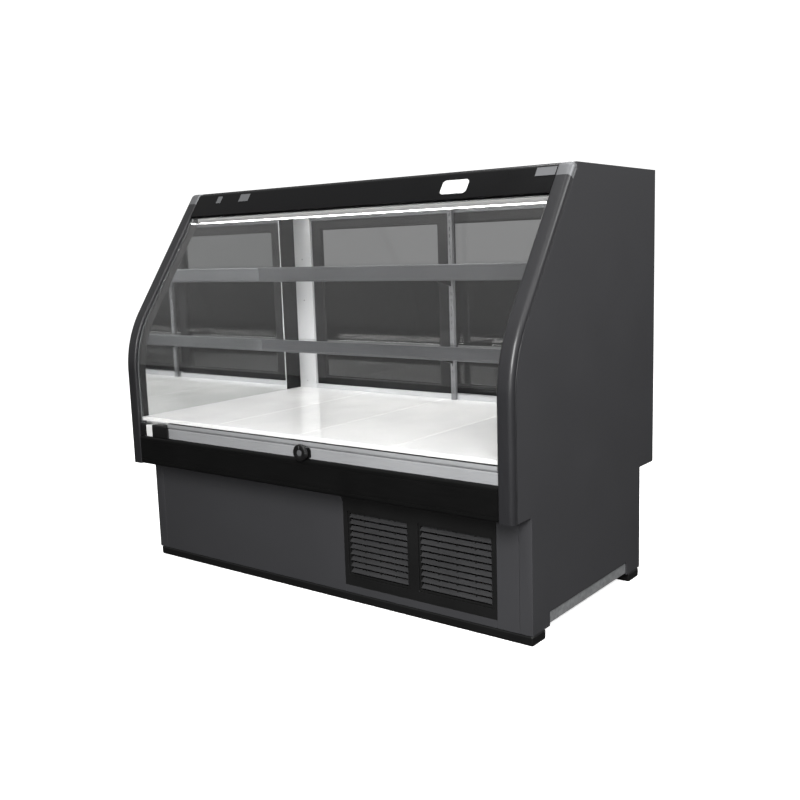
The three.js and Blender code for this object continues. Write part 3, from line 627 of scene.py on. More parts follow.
def pan_head(radius):
    """A pan-head screw with its shank to +Y: a domed rim and a recess. radius in mm."""
    dome = ((1, 0), (1, -0.25), (0.9, -0.42), (0.66, -0.52), (0.4, -0.54), (0.4, -0.2), (0, -0.2))
    bm = bmesh.new()
    add_turned(bm, [(radius * r, radius * along) for r, along in dome], (0, 0, 0), segments=12)
    return bm


# ---- ends: panels, mouldings and mirrors ----
class ShowcaseEnds(bpy.types.Operator):
    """Laminate ends with their front mouldings and inside mirrors"""
    bl_idname = "showcase.ends"
    bl_label = "Ends"

    def execute(self, context):
        for side in SIDES:
            soften(f"end_panel_{side}", laminate(), "dark_laminate", 1.5 * MM, segments=3)
            moulding(side)
            mirror(side)
        return {"FINISHED"}


def moulding(side):
    """A PVC moulding with a crowned face and a broad outer corner, under a pale metal cap at its top that paints the
    bright highlight where the moulding curves over.
    """
    lo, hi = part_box(f"edge_trim_{side}")
    width, depth = hi.x - lo.x, 22 * MM
    outer, way = (hi.x, -1) if side == "right" else (lo.x, 1)
    outer_round, inner_round, crown = 13.5 * MM, 5 * MM, 0.8 * MM
    flat = width - outer_round - inner_round
    face = [*arc((outer_round, outer_round), outer_round, 180, steps=7),
            *((outer_round + flat * i / 8, 0.0) for i in range(1, 8)),
            *arc((width - inner_round, inner_round), inner_round, 270, steps=5)]
    groove = [(0.0, 18.5 * MM), (0.9 * MM, 17.8 * MM), (0.9 * MM, 16.7 * MM), (0.0, 16 * MM)]
    section = [(0.0, depth), *groove,
               *((u, v + crown * (1 - math.sin(math.pi * u / width))) for u, v in face), (width, depth)]
    stations, highlight_cap_start = moulding_stations()
    # the second piece is a pale metal cap over the corner: it paints the bright highlight on the moulding's curved
    # top
    for name, along, finish, slot, stands_for in (
            (f"edge_moulding_{side}", stations[:highlight_cap_start + 1], edge_moulding(), "gloss_edge_trim",
             f"edge_trim_{side}"),
            (f"corner_cap_{side}", stations[highlight_cap_start:], post_aluminium(), "satin_aluminium", None)):
        bm = bmesh.new()
        loft(bm, [[bm.verts.new((outer + way * across, *station(inset))) for across, inset in section]
                  for station in along])
        piece_from(name, bm, finish, slot, stands_for, smooth_angle=30)


def moulding_stations():
    """Places along the front outline, each a function from inset to (y, z), and where the pale cap that paints the
    corner highlight starts.
    """
    s = sizes()
    lo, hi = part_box("edge_trim_right")
    highlight_cap_length, sharpest, bend_steps, corner_steps = 30 * MM, 0.05 * MM, 32, 10
    highlight_cap_run = run_to(hi.z - s.corner_radius, s.corner_radius) - highlight_cap_length

    def turned(centre, radius, angle):
        return lambda inset: (centre[0] + max(radius - inset, sharpest) * math.cos(angle),
                              centre[1] + max(radius - inset, sharpest) * math.sin(angle))
    stations = [lambda inset, z=z: (lo.y + inset, z) for z in (lo.z, lo.z + 0.1, s.straight_top)]
    stations += [turned((lo.y + s.bend_radius, s.straight_top), s.bend_radius, math.pi - s.lean * i / bend_steps)
                 for i in range(1, bend_steps + 1)]
    highlight_cap_start = len(stations)
    stations.append(lambda inset: slope_point(highlight_cap_run, inset))
    stations += [turned(corner_centre(), s.corner_radius,
                        math.pi - s.lean - (math.pi / 2 - s.lean) * i / corner_steps)
                 for i in range(corner_steps + 1)]
    stations.append(lambda inset: (hi.y, hi.z - inset))
    return stations, highlight_cap_start


def mirror(side):
    """The silvered sheet, the black upright that holds the brackets behind it, and the edging at its front."""
    lo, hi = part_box(f"end_mirror_{side}")
    inset, upright, edging = 22.3 * MM, 80 * MM, 26 * MM
    back = hi.y - upright
    sheet = [*bend_points(inset, lo.z), slope_point(run_to(hi.z, inset), inset), (back, hi.z), (back, lo.z)]
    piece_from(f"end_mirror_{side}_sheet", bars(sheet, (lo.x, hi.x)), silvering(), "end_mirror",
               f"end_mirror_{side}", bevel=0.5 * MM)
    piece_from(f"end_upright_{side}", boxes(((lo.x, back + 0.4 * MM, lo.z), hi)), black_enamel(), "black_enamel",
               bevel=1 * MM)
    inner, way = (lo.x, -1) if side == "right" else (hi.x, 1)
    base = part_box("display_deck")[1].z + 0.4 * MM
    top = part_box("canopy_lamp")[0].z - 1 * MM
    front, rear = ([*bend_points(d, base), slope_point(run_to(top, d), d)]
                   for d in (inset + 0.5 * MM, inset + edging))
    piece_from(f"end_mirror_{side}_edging",
               bars(front + rear[::-1], (inner + way * 0.05 * MM, inner + way * 1.2 * MM)), rubber(), "black_enamel")


# ---- canopy ----
class ShowcaseCanopy(bpy.types.Operator):
    """Canopy rail, top board, lit strip and blank plate"""
    bl_idname = "showcase.canopy"
    bl_label = "Canopy"

    def execute(self, context):
        soften("canopy_top", laminate(), "dark_laminate", segments=3)
        canopy_rail()
        rail_highlight_pieces()
        blank_plate()
        lit_strip()
        return {"FINISHED"}


def canopy_rail():
    """An enamelled rail over the top corner, with a round gasket under its lower edge."""
    lo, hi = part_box("canopy_front_rail")
    inset, thick, gasket_radius = 3 * MM, 22 * MM, 1.3 * MM
    back = inset + thick
    outline = [slope_point(rail_start(), inset), *corner_points(inset), (hi.y, hi.z), (hi.y, hi.z - thick),
               slope_point(run_to(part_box("canopy_top")[1].z - back, back), back), slope_point(rail_start(), back)]
    piece_from("canopy_rail_finished", bars(outline, (lo.x, hi.x)), black_enamel(), "black_enamel",
               "canopy_front_rail", bevel=2 * MM, segments=3)
    gasket = arc(slope_point(rail_start() - 1.4 * MM, 13 * MM), gasket_radius, 0, 330, 11)
    piece_from("canopy_rail_gasket", bars(gasket, (lo.x, hi.x)), rubber(), "black_enamel")


def rail_highlight_pieces():
    """Small pale aluminium pieces on the face of the rail that paint bright reflections on it: one at its right end,
    two towards its left end.
    """
    lo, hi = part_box("canopy_front_rail")
    bm = bmesh.new()
    for x, start, end, low, high in ((hi.x, -62, -1, 56, 84), (lo.x, 105, 127, 50, 78), (lo.x, 218, 263, 50, 80)):
        section = [slope_point(rail_start() + run * MM, inset * MM)
                   for run, inset in ((low, 2.95), (high, 2.95), (high, 1.6), (low, 1.6))]
        add_prism_x(bm, section, x + start * MM, x + end * MM)
    piece_from("canopy_rail_clips", bm, post_aluminium(), "satin_aluminium", bevel=0.5 * MM)


def blank_plate():
    """A plain white enamelled plate with a raised rim."""
    lo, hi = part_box("name_plate")
    middle, half, rise, corner = (lo.x + hi.x) / 2, (hi.x - lo.x) / 2, 24 * MM, 12 * MM
    run = rail_start() + 0.44 * RAIL_SLOPE_LENGTH
    bm = bmesh.new()
    rings = []
    for shrink, inset in ((0, 2.9), (0, 1.9), (0.6, 1.55), (2.4, 1.55), (3, 1.95)):
        less = shrink * MM
        outline = rounded(less - half, half - less, less - rise, rise - less, corner - less, steps=8)
        rings.append([bm.verts.new((middle + u, *slope_point(run + v, inset * MM))) for u, v in outline])
    loft(bm, rings)
    piece_from("name_plate_finished", bm, white_enamel(), "white_plate", "name_plate")


def lit_strip():
    """A white sheet-metal case behind the rail, with a glowing skirt and a rounded opal cover below it."""
    lo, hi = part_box("canopy_lamp")
    front, bottom, top = lo.y, lo.z, lo.z + 23 * MM
    under = top - 0.1 * MM
    skirt, cap, r = 5 * MM, 12 * MM, 9 * MM
    behind_rail = 25.3 * MM
    top_y = slope_point(run_to(hi.z - 0.3 * MM, behind_rail), behind_rail)[0] + 4 * MM
    lit = (lo.x + cap, hi.x - cap)
    piece_from("lamp_case", bars([(front, top), (hi.y, top), (hi.y, hi.z), (top_y, hi.z)], (lo.x, hi.x)),
               white_enamel(), "lamp_diffuser", "canopy_lamp", bevel=1 * MM)
    inner = front + skirt - 0.4 * MM
    lip = [(front, under), (front, bottom + 4 * MM), (front + 0.8 * MM, bottom + 2.6 * MM),
           (front + 2.2 * MM, bottom + 2 * MM), (inner, bottom + 2 * MM), (inner, under)]
    piece_from("lamp_skirt", bars(lip, lit), skirt_glow(bottom, top), "lamp_diffuser")
    bowl = [*arc((front + skirt + r, bottom + r), r, 180), *arc((front + 35 * MM, bottom + r), r, 270),
            (front + 46 * MM, under)]
    piece_from("lamp_opal_cover", bars([(front + skirt, under), *bowl], lit), lamp_glow("opal_canopy_cover", 13.0),
               "lamp_diffuser")
    piece_from("lamp_end_caps", bars([(front, under), (front, bottom + 2 * MM), *bowl], (lo.x, lit[0]),
                                     (lit[1], hi.x)), moulded_black(), "lamp_diffuser", bevel=0.6 * MM)


# ---- front below the glass ----
class ShowcaseFront(bpy.types.Operator):
    """Bumper, sill and end block below the front glass"""
    bl_idname = "showcase.front"
    bl_label = "Bumper and sill"

    def execute(self, context):
        bumper()
        sill()
        end_block()
        trim_screws()
        return {"FINISHED"}


def drawn_line(y, z, mouth, floor_width, deep):
    """A shallow groove in a front face, met from above. All but the place are in mm."""
    return [(y + d * MM, z + rise * MM) for d, rise in
            ((0, mouth / 2), (deep, floor_width / 2), (deep, -floor_width / 2), (0, -mouth / 2))]


def bumper():
    """A soft vinyl extrusion with rounded lips and two drawn lines."""
    lo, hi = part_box("front_bumper")
    r, line = 8 * MM, 16 * MM
    outline = [(hi.y, lo.z), (hi.y, hi.z), *arc((lo.y + r, hi.z - r), r, 90),
               *drawn_line(lo.y, hi.z - line, 2.8, 1.2, 1.1), *drawn_line(lo.y, lo.z + line, 2.8, 1.2, 1.1),
               *arc((lo.y + r, lo.z + r), r, 180)]
    piece_from("front_bumper_finished", bars(outline, (lo.x, hi.x)), vinyl(), "black_vinyl", "front_bumper")


def sill():
    """An anodised extrusion with a rounded nose and fine drawn flutes."""
    lo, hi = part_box("front_sill")
    r = 3 * MM
    outline = [(hi.y, lo.z), (hi.y, hi.z), *arc((lo.y + r, hi.z - r), r, 90, steps=5),
               *drawn_line(lo.y, hi.z - 9 * MM, 2.2, 1, 1.2), *drawn_line(lo.y, lo.z + 7 * MM, 2.2, 1, 1.2),
               (lo.y, lo.z)]
    piece_from("front_sill_finished", bars(outline, (lo.x, hi.x)), satin_aluminium(), "satin_aluminium",
               "front_sill")


def end_block():
    """The black pivot block at the end of the sill, with a white filler let into it near the moulding."""
    lo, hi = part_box("sill_end_block")
    foot, joint, gap = lo.x + 29 * MM, lo.x + 61 * MM, 0.5 * MM
    upper = (False, False, True, True)
    piece_from("sill_end_block_finished",
               bars(rounded(lo.y, hi.y, lo.z, hi.z, 4 * MM, 5, upper), (lo.x, foot), (joint, hi.x)),
               moulded_black(), "black_plastic", "sill_end_block", bevel=1 * MM)
    piece_from("sill_end_filler",
               bars(rounded(lo.y + 1 * MM, hi.y, lo.z, hi.z - 2 * MM, 3 * MM, 4, upper), (foot + gap, joint - gap)),
               white_enamel(), "black_plastic", bevel=0.8 * MM)


def trim_screws():
    """One plated screw in a dark cup at the foot of each moulding."""
    points = []
    for side in SIDES:
        lo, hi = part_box(f"edge_trim_{side}")
        points.append(((lo.x + hi.x) / 2, lo.y + 1.6 * MM, lo.z + 30 * MM))
    repeated("moulding_screws", pan_head(3), points, zinc_screw(), "satin_aluminium")
    bm = bmesh.new()
    for x, y, z in points:
        add_turned(bm, [(3.2, -2.4), (6, -1.5), (6.5, 0)], (x, y + 0.9 * MM, z), segments=24)
    piece_from("moulding_screw_cups", bm, moulded_black(), "black_plastic")


class ShowcaseLock(bpy.types.Operator):
    """The lock knob on the sill and the plate behind it"""
    bl_idname = "showcase.lock"
    bl_label = "Lock knob"

    def execute(self, context):
        lo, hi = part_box("glass_lock_knob")
        x, _, z = (lo + hi) / 2
        rear = hi.y
        # radius and distance out from the back in mm, and whether the ring is ribbed
        rings = ((12, 0, 0), (12, 11, 0), (20, 11.8, 0), (25.2, 12.3, 1), (25.8, 14, 1), (25.8, 20.4, 1),
                 (24.8, 22.3, 1), (22.8, 23.3, 0), (11, 23.4, 0), (9.6, 22.6, 0), (9.6, 21.6, 0))
        bm = bmesh.new()
        add_ribbed(bm, x, z, [(r * MM, rear - out * MM, ribbed) for r, out, ribbed in rings], sizes().knob_grips,
                   0.5 * MM)
        piece_from("lock_knob_grip", bm, moulded_black(), "black_plastic", "glass_lock_knob", "lock_knob")
        cap = ((9.3, -21.8), (9.3, -22.8), (8.7, -23.3), (5, -23.6), (2.2, -23.65), (2.2, -22.9), (0, -22.9))
        bm = boxes(((x - 0.9 * MM, rear - 23.65 * MM, z + 13 * MM), (x + 0.9 * MM, rear - 23.2 * MM, z + 21 * MM)))
        add_turned(bm, cap, (x, rear, z))
        piece_from("lock_knob_cap", bm, post_aluminium(), "black_plastic", body="lock_knob")
        sill_lo, sill_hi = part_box("front_sill")
        half, margin, hole = 27 * MM, 0.7 * MM, 12.6 * MM
        bm = bmesh.new()
        add_frame(bm, rounded(x - half, x + half, sill_lo.z + margin, sill_hi.z - margin, 9 * MM),
                  rounded(x - hole, x + hole, z - hole, z + hole, hole), sill_lo.y - 2.2 * MM, sill_lo.y - 0.1 * MM)
        piece_from("lock_escutcheon", bm, moulded_black(), "black_plastic", bevel=0.5 * MM)
        return {"FINISHED"}


class ShowcaseFrontGlass(bpy.types.Operator):
    """The bent front pane and its hinge channel"""
    bl_idname = "showcase.front_glass"
    bl_label = "Front glass"

    def execute(self, context):
        lo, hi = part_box("front_glass")
        inset, thick, steps = 10 * MM, 8 * MM, 40
        end = rail_start() - 4 * MM
        outer, inner = ([*bend_points(d, lo.z, steps), slope_point(end, d)] for d in (inset, inset + thick))
        bm = bars(outer + inner[::-1], (lo.x, hi.x))
        bm.normal_update()
        for face in bm.faces:
            face.material_index = int(abs(face.normal.x) > 0.9 or is_pane_end(face, thick))
        piece = piece_from("front_glass_pane", bm, clear_pane(), "front_glass", "front_glass", GLASS_BODY,
                           smooth_angle=20)
        piece.data.materials.append(glass_edge())
        soften("glass_hinge_channel", satin_aluminium(), "satin_aluminium", 0.5 * MM, body=GLASS_BODY)
        lo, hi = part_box("glass_hinge_channel")
        strips = ((lo.y + 0.8 * MM, lo.y + 3.9 * MM), (hi.y - 3.9 * MM, hi.y - 0.8 * MM))
        piece_from("front_glass_gasket",
                   boxes(*(((lo.x, y0, hi.z - 0.4 * MM), (hi.x, y1, hi.z + 1.6 * MM)) for y0, y1 in strips)),
                   rubber(), "satin_aluminium", body=GLASS_BODY, bevel=0.5 * MM)
        return {"FINISHED"}


def is_pane_end(face, thickness):
    """True for the narrow face across the pane's thickness."""
    spans = sorted(edge.calc_length() for edge in face.edges)
    near, long_side = 0.2 * MM, 0.5
    return abs(spans[0] - thickness) < near and len(face.verts) == 4 and spans[-1] > long_side


# ---- inside ----
class ShowcaseInterior(bpy.types.Operator):
    """Liner, deck pans, cooling coil and rear lower panel"""
    bl_idname = "showcase.interior"
    bl_label = "Liner and deck"

    def execute(self, context):
        soften("insulated_tub", liner(), "insulated_liner", 2 * MM)
        soften("rear_lower_panel", laminate(), "dark_laminate")
        deck()
        finned_block("evaporator_coil", 6 * MM, rows=3)
        return {"FINISHED"}


def deck():
    """Four folded pans side by side with fine joints."""
    lo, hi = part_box("display_deck")
    pans, joint, sheet = 4, 0.9 * MM, 2.5 * MM
    width = (hi.x - lo.x) / pans
    front, back, under = lo.y + sheet, hi.y - sheet, hi.z - sheet
    outline = [(lo.y, lo.z), (front, lo.z), (front, under), (back, under), (back, lo.z), (hi.y, lo.z),
               (hi.y, hi.z), (lo.y, hi.z)]
    ends = [(lo.x + i * width + (joint / 2 if i else 0),
             lo.x + (i + 1) * width - (joint / 2 if i < pans - 1 else 0)) for i in range(pans)]
    piece_from("display_deck_pans", bars(outline, *ends), white_enamel(), "white_enamel", "display_deck",
               bevel=1 * MM)


def finned_block(node_name, pitch, rows):
    """A fin-and-tube coil: fins by Geometry Nodes, end plates and tubes with return bends in mesh code."""
    lo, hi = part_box(node_name)
    plate, bend, radius, edge, half_fin, inset = 1.5 * MM, 12 * MM, 4.5 * MM, 0.5 * MM, 0.2 * MM, 15 * MM
    x0, x1 = lo.x + bend, hi.x - bend
    depth, height = hi.y - lo.y, hi.z - lo.z
    count = int((x1 - x0 - 2 * plate) / pitch)
    _, y, z = (lo + hi) / 2
    first = (x0 + x1) / 2 - (count - 1) * pitch / 2
    fin = (half_fin, depth / 2 - edge, height / 2 - edge)
    repeated(f"{node_name}_fins", boxes(([-d for d in fin], fin)), [(first + i * pitch, y, z) for i in range(count)],
             fin_stock(), "coil_fins", node_name)
    piece_from(f"{node_name}_end_plates",
               boxes(*(((x, lo.y, lo.z), (x + plate, hi.y, hi.z)) for x in (x0, x1 - plate))),
               galvanised(), "coil_fins", bevel=0.3 * MM)
    bm = bmesh.new()
    levels = max(2, int(height / (34 * MM)))
    step = (height - 2 * inset) / (levels - 1)
    left, right = x0 - 2 * MM, x1 + 2 * MM
    reach = bend - 2 * MM - radius - 0.3 * MM
    for row in range(rows):
        y = lo.y + depth * (row + 0.5) / rows
        for level in range(levels):
            z = lo.z + inset + level * step
            add_tube(bm, [(left, y, z), (right, y, z)], radius, segments=10)
            if level < levels - 1:
                x, way = (right, 1) if (level + row) % 2 else (left, -1)
                turn = [math.pi * t / 10 for t in range(11)]
                add_tube(bm, [(x + way * reach * math.sin(a), y, z + step / 2 * (1 - math.cos(a))) for a in turn],
                         radius, segments=10)
    piece_from(f"{node_name}_tubes", bm, copper(), "coil_fins")


class ShowcaseShelves(bpy.types.Operator):
    """Two glass shelves with ticket rails, lamps and brackets"""
    bl_idname = "showcase.shelves"
    bl_label = "Shelves"

    def execute(self, context):
        for level in ("upper", "lower"):
            shelf_glass(level)
            ticket_rail(level)
            shelf_lamp(level)
            for place in ("left", "centre", "right"):
                soften(f"shelf_{level}_bracket_{place}", black_enamel(), "black_enamel", 0.8 * MM)
        centre_standard()
        return {"FINISHED"}


def shelf_glass(level):
    bm = boxes(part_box(f"shelf_{level}_glass"))
    bm.normal_update()
    for face in bm.faces:
        face.material_index = 0 if abs(face.normal.z) > 0.5 else 1
    piece = piece_from(f"shelf_{level}_pane", bm, shelf_pane(), "shelf_glass", f"shelf_{level}_glass",
                       bevel=0.8 * MM)
    piece.data.materials.append(glass_edge())


def ticket_rail(level):
    """A ticket extrusion: lips above and below a shallow recess, and a rounded nose."""
    lo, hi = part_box(f"shelf_{level}_rail")
    # the upper lip, as distances back from the front and down from the top in mm; the lower one mirrors it
    lip = ((1.5, 0), (0.4, 0.5), (0, 1.6), (0, 6), (0.6, 6.6), (2.4, 6.8))
    outline = [(hi.y, lo.z), (hi.y, hi.z), *((lo.y + back * MM, hi.z - down * MM) for back, down in lip),
               *((lo.y + back * MM, lo.z + up * MM) for back, up in reversed(lip))]
    piece_from(f"shelf_{level}_ticket_rail", bars(outline, (lo.x, hi.x)), ticket_aluminium(), "satin_aluminium",
               f"shelf_{level}_rail", smooth_angle=25)


def shelf_lamp(level):
    """A rounded opal cover between two end caps."""
    lo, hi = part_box(f"shelf_{level}_lamp")
    r, cap = 5 * MM, 14 * MM
    outline = [(lo.y, hi.z), *arc((lo.y + r, lo.z + r), r, 180, steps=6),
               *arc((hi.y - r, lo.z + r), r, 270, steps=6), (hi.y, hi.z)]
    left, right = lo.x + cap, hi.x - cap
    piece_from(f"shelf_{level}_opal_cover", bars(outline, (left, right)), lamp_glow("opal_shelf_cover", 6.5),
               "lamp_diffuser", f"shelf_{level}_lamp")
    piece_from(f"shelf_{level}_lamp_caps", bars(outline, (lo.x, left), (right, hi.x)), moulded_black(),
               "lamp_diffuser", bevel=0.5 * MM)


def centre_standard():
    """An upright with a column of hook slots."""
    lo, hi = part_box("centre_standard")
    half, face = 2.2 * MM, lo.y + 4 * MM
    pitch, slot, first, spare = 25 * MM, 13 * MM, 20 * MM, 30 * MM
    left, right = (lo.x + hi.x) / 2 - half, (lo.x + hi.x) / 2 + half
    solid = [(lo, (left, hi.y, hi.z)), ((right, lo.y, lo.z), hi), ((left, face, lo.z), (right, hi.y, hi.z))]
    z = lo.z
    for i in range(int((hi.z - lo.z - spare) / pitch)):
        slot_z = lo.z + first + i * pitch
        solid.append(((left, lo.y, z), (right, face, slot_z)))
        z = slot_z + slot
    solid.append(((left, lo.y, z), (right, face, hi.z)))
    piece_from("centre_standard_slotted", boxes(*solid), post_aluminium(), "satin_aluminium", "centre_standard")


# ---- rear frame and sliding doors ----
class ShowcaseRear(bpy.types.Operator):
    """Rear tracks, jambs and the two sliding doors"""
    bl_idname = "showcase.rear"
    bl_label = "Rear doors"

    def execute(self, context):
        soften("rear_sill_track", satin_aluminium(), "satin_aluminium", 0.5 * MM)
        soften("rear_head_track", post_aluminium(), "satin_aluminium", 0.5 * MM)
        for side in SIDES:
            soften(f"rear_jamb_{side}", upright_aluminium(), "satin_aluminium", 1 * MM)
            sliding_door(f"rear_door_{side}")
        return {"FINISHED"}


def sliding_door(door):
    """A black frame, its pane, and a gasket round the pane on either face."""
    soften(f"{door}_frame", black_anodised(), "black_door_frame", 1 * MM, body=door)
    lo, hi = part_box(f"{door}_glass")
    piece_from(f"{door}_pane", boxes((lo, hi)), smoked_pane(), "door_glass", f"{door}_glass", door, bevel=0.5 * MM)
    bm = bmesh.new()
    lip, thin, gap, overlap = 5 * MM, 2.2 * MM, 0.1 * MM, 0.2 * MM
    outer = rounded(lo.x - overlap, hi.x + overlap, lo.z - overlap, hi.z + overlap, 1.5 * MM, 3)
    inner = rounded(lo.x + lip, hi.x - lip, lo.z + lip, hi.z - lip, 3 * MM, 3)
    for y0, y1 in ((lo.y - thin, lo.y - gap), (hi.y + gap, hi.y + thin)):
        add_frame(bm, outer, inner, y0, y1)
    piece_from(f"{door}_gasket", bm, rubber(), "door_glass", body=door)


# ---- base ----
class ShowcaseBase(bpy.types.Operator):
    """Base panels, pan, rails and runners"""
    bl_idname = "showcase.base"
    bl_label = "Base"

    def execute(self, context):
        front_panel()
        for name in ("base_front_stile", "base_front_strip", "base_rear_panel"):
            soften(name, laminate(), "dark_laminate")
        soften("base_pan", galvanised(), "galvanised_steel", 0.4 * MM)
        for side in SIDES:
            soften(f"base_rail_{side}", galvanised(), "galvanised_steel", 2 * MM)
        for name in ("front_runner", "rear_runner"):
            soften(name, moulded_black(), "black_plastic", 7 * MM, segments=5)
        return {"FINISHED"}


def front_panel():
    """The removable panel, with one rounded upper corner beside the grille and a black filler behind it."""
    lo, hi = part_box("base_front_panel")
    radius, gap, set_back, steps = 58 * MM, 0.6 * MM, 5 * MM, 16
    bm = bmesh.new()
    add_prism_y(bm, rounded(lo.x, hi.x, lo.z, hi.z, radius, steps, (False, False, True, False)), lo.y, hi.y)
    piece_from("base_front_panel_finished", bm, laminate(), "dark_laminate", "base_front_panel", bevel=1.4 * MM,
               segments=3)
    curve = [(x, z) for x, z in arc((hi.x - radius, hi.z - radius), radius + gap, 0, 90, steps)
             if x <= hi.x and z <= hi.z]
    bm = bmesh.new()
    add_prism_y(bm, [(hi.x, hi.z), (hi.x, curve[0][1]), *curve, (curve[-1][0], hi.z)], lo.y + set_back, hi.y)
    piece_from("base_corner_filler", bm, powder_coat(), "grille_black", smooth_angle=25)


class ShowcaseGrilles(bpy.types.Operator):
    """Grille surround with two louvred windows"""
    bl_idname = "showcase.grilles"
    bl_label = "Grilles"

    def execute(self, context):
        soften("grille_surround", powder_coat(), "grille_black", 1.5 * MM, segments=3)
        for side in SIDES:
            louvres(side)
        return {"FINISHED"}


def louvres(side):
    """Tilted blades with rolled lips, in a flat frame with three stays behind."""
    lo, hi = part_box(f"louvre_grille_{side}")
    panel_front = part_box("base_front_panel")[0].y
    border, front, rear = 6 * MM, panel_front + 2 * MM, panel_front + 14 * MM
    x0, x1, z0, z1 = lo.x + border, hi.x - border, lo.z + border, hi.z - border
    count = sizes().louvre_count
    pitch = (z1 - z0) / count
    tilt = math.radians(38)
    reach, thin = 7.5, 1.1
    section = ((-reach, -thin), (-reach + 0.8, -thin - 1), (-reach + 1.6, -thin), (reach, -thin), (reach, thin),
               (-reach + 0.6, thin), (-reach, thin * 0.4))
    turned = [((u * math.cos(tilt) - v * math.sin(tilt)) * MM, (u * math.sin(tilt) + v * math.cos(tilt)) * MM)
              for u, v in section]
    half = (x1 - x0) / 2 + 1 * MM
    points = [((lo.x + hi.x) / 2, (front + rear) / 2, z0 + (i + 0.5) * pitch) for i in range(count)]
    repeated(f"louvre_{side}_blades", bars(turned, (-half, half)), points, rolled_enamel(), "grille_black",
             f"louvre_grille_{side}")
    stays = (lo.x + share * (hi.x - lo.x) for share in (0.25, 0.5, 0.75))
    bm = boxes(*(((x - 2 * MM, rear - 4 * MM, z0 - 1 * MM), (x + 2 * MM, rear, z1 + 1 * MM)) for x in stays))
    add_frame(bm, rounded(lo.x, hi.x, lo.z, hi.z, 4.6 * MM, 5), rounded(x0, x1, z0, z1, 2 * MM, 5), front, rear)
    piece_from(f"louvre_{side}_frame", bm, powder_coat(), "grille_black", bevel=0.6 * MM)


# ---- condensing unit ----
class ShowcaseUnit(bpy.types.Operator):
    """Condenser, compressor and fan motor"""
    bl_idname = "showcase.unit"
    bl_label = "Condensing unit"

    def execute(self, context):
        finned_block("condenser_coil", sizes().fin_pitch, rows=2)
        compressor()
        fan_motor()
        fan_rotor()
        return {"FINISHED"}


def compressor():
    """A domed can on rubber feet, with a terminal cover and two copper pipes."""
    lo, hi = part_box("compressor")
    x, y, _ = (lo + hi) / 2
    z = lo.z + 14 * MM
    profile = ((0, 0), (60, 1), (74, 5), (80, 12), (82, 20), (82, 95), (83, 97), (87.5, 98.5), (87.5, 105.5),
               (83, 107), (82, 110), (81, 135), (77, 158), (68, 178), (52, 193), (30, 202), (12, 205.5), (0, 206))
    bm = bmesh.new()
    add_turned(bm, profile, (x, y, z), (0, 0, 1), segments=64)
    piece_from("compressor_can", bm, machine_enamel(), "unit_black", "compressor", smooth_angle=30)
    bm = boxes(((lo.x, lo.y, lo.z + 6 * MM), (hi.x, hi.y, lo.z + 9 * MM)))
    inset = 14 * MM
    for px in (lo.x + inset, hi.x - inset):
        for py in (lo.y + inset, hi.y - inset):
            add_turned(bm, ((11, 0), (12, 3), (8, 5), (12, 7), (11, 15.8)), (px, py, lo.z), (0, 0, 1), segments=20)
    piece_from("compressor_feet", bm, rubber(), "unit_black", smooth_angle=30)
    cover = ((x - 30 * MM, y + 70 * MM, z + 40 * MM),
             (x + 30 * MM, min(hi.y + 12 * MM, y + 104 * MM), z + 92 * MM))
    piece_from("compressor_terminal_cover", boxes(cover), moulded_black(), "unit_black", bevel=4 * MM, segments=3)
    bm = bmesh.new()
    to_coil = (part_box("condenser_coil")[1].y - y) / MM
    # routes in mm from the foot of the can's axis
    for radius, route in (
            (4, ((60, -20, 165), (90, -60, 200), (150, -120, 215), (230, -200, 215), (244, -270, 205),
                 (244, to_coil, 195))),
            (5, ((-60, 10, 150), (-100, 30, 190), (-160, 60, 240), (-170, 80, 300)))):
        add_tube(bm, smooth_path([Vector((x, y, z)) + Vector(p) * MM for p in route]), radius * MM)
    piece_from("compressor_pipes", bm, copper(), "unit_black")


def smooth_path(given, steps=6):
    """Points on a smooth line through the given ones."""
    ends = [given[0] * 2 - given[1], *given, given[-1] * 2 - given[-2]]
    path = []
    for a, b, c, d in zip(ends, ends[1:], ends[2:], ends[3:]):
        for t in (k / steps for k in range(steps)):
            path.append(0.5 * ((2 * b) + (c - a) * t + (2 * a - 5 * b + 4 * c - d) * t * t
                               + (3 * b - a - 3 * c + d) * t ** 3))
    return [*path, given[-1]]


def fan_motor():
    """A ribbed can on a folded stand."""
    lo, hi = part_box("fan_motor")
    fan_lo, fan_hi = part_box("condenser_fan")
    x, _, z = (fan_lo + fan_hi) / 2
    profile = ((0, 0), (8, 0), (8, 9), (12, 10.5), (30, 11.5), (36, 13), (38, 17), (38, 40), (37, 41), (37, 43),
               (38, 44), (38, 70), (36, 75), (30, 79), (18, 81.6), (0, 82))
    bm = bmesh.new()
    add_turned(bm, profile, (x, lo.y, z))
    piece_from("fan_motor_can", bm, machine_enamel(), "unit_black", "fan_motor", smooth_angle=30)
    post = ((x - 22 * MM, lo.y + 34 * MM, lo.z + 3 * MM), (x + 22 * MM, lo.y + 54 * MM, z - 20 * MM))
    foot = ((lo.x, hi.y - 62 * MM, lo.z), (hi.x, hi.y - 4 * MM, lo.z + 5 * MM))
    piece_from("fan_motor_stand", boxes(post, foot), galvanised(), "unit_black", bevel=1.5 * MM)


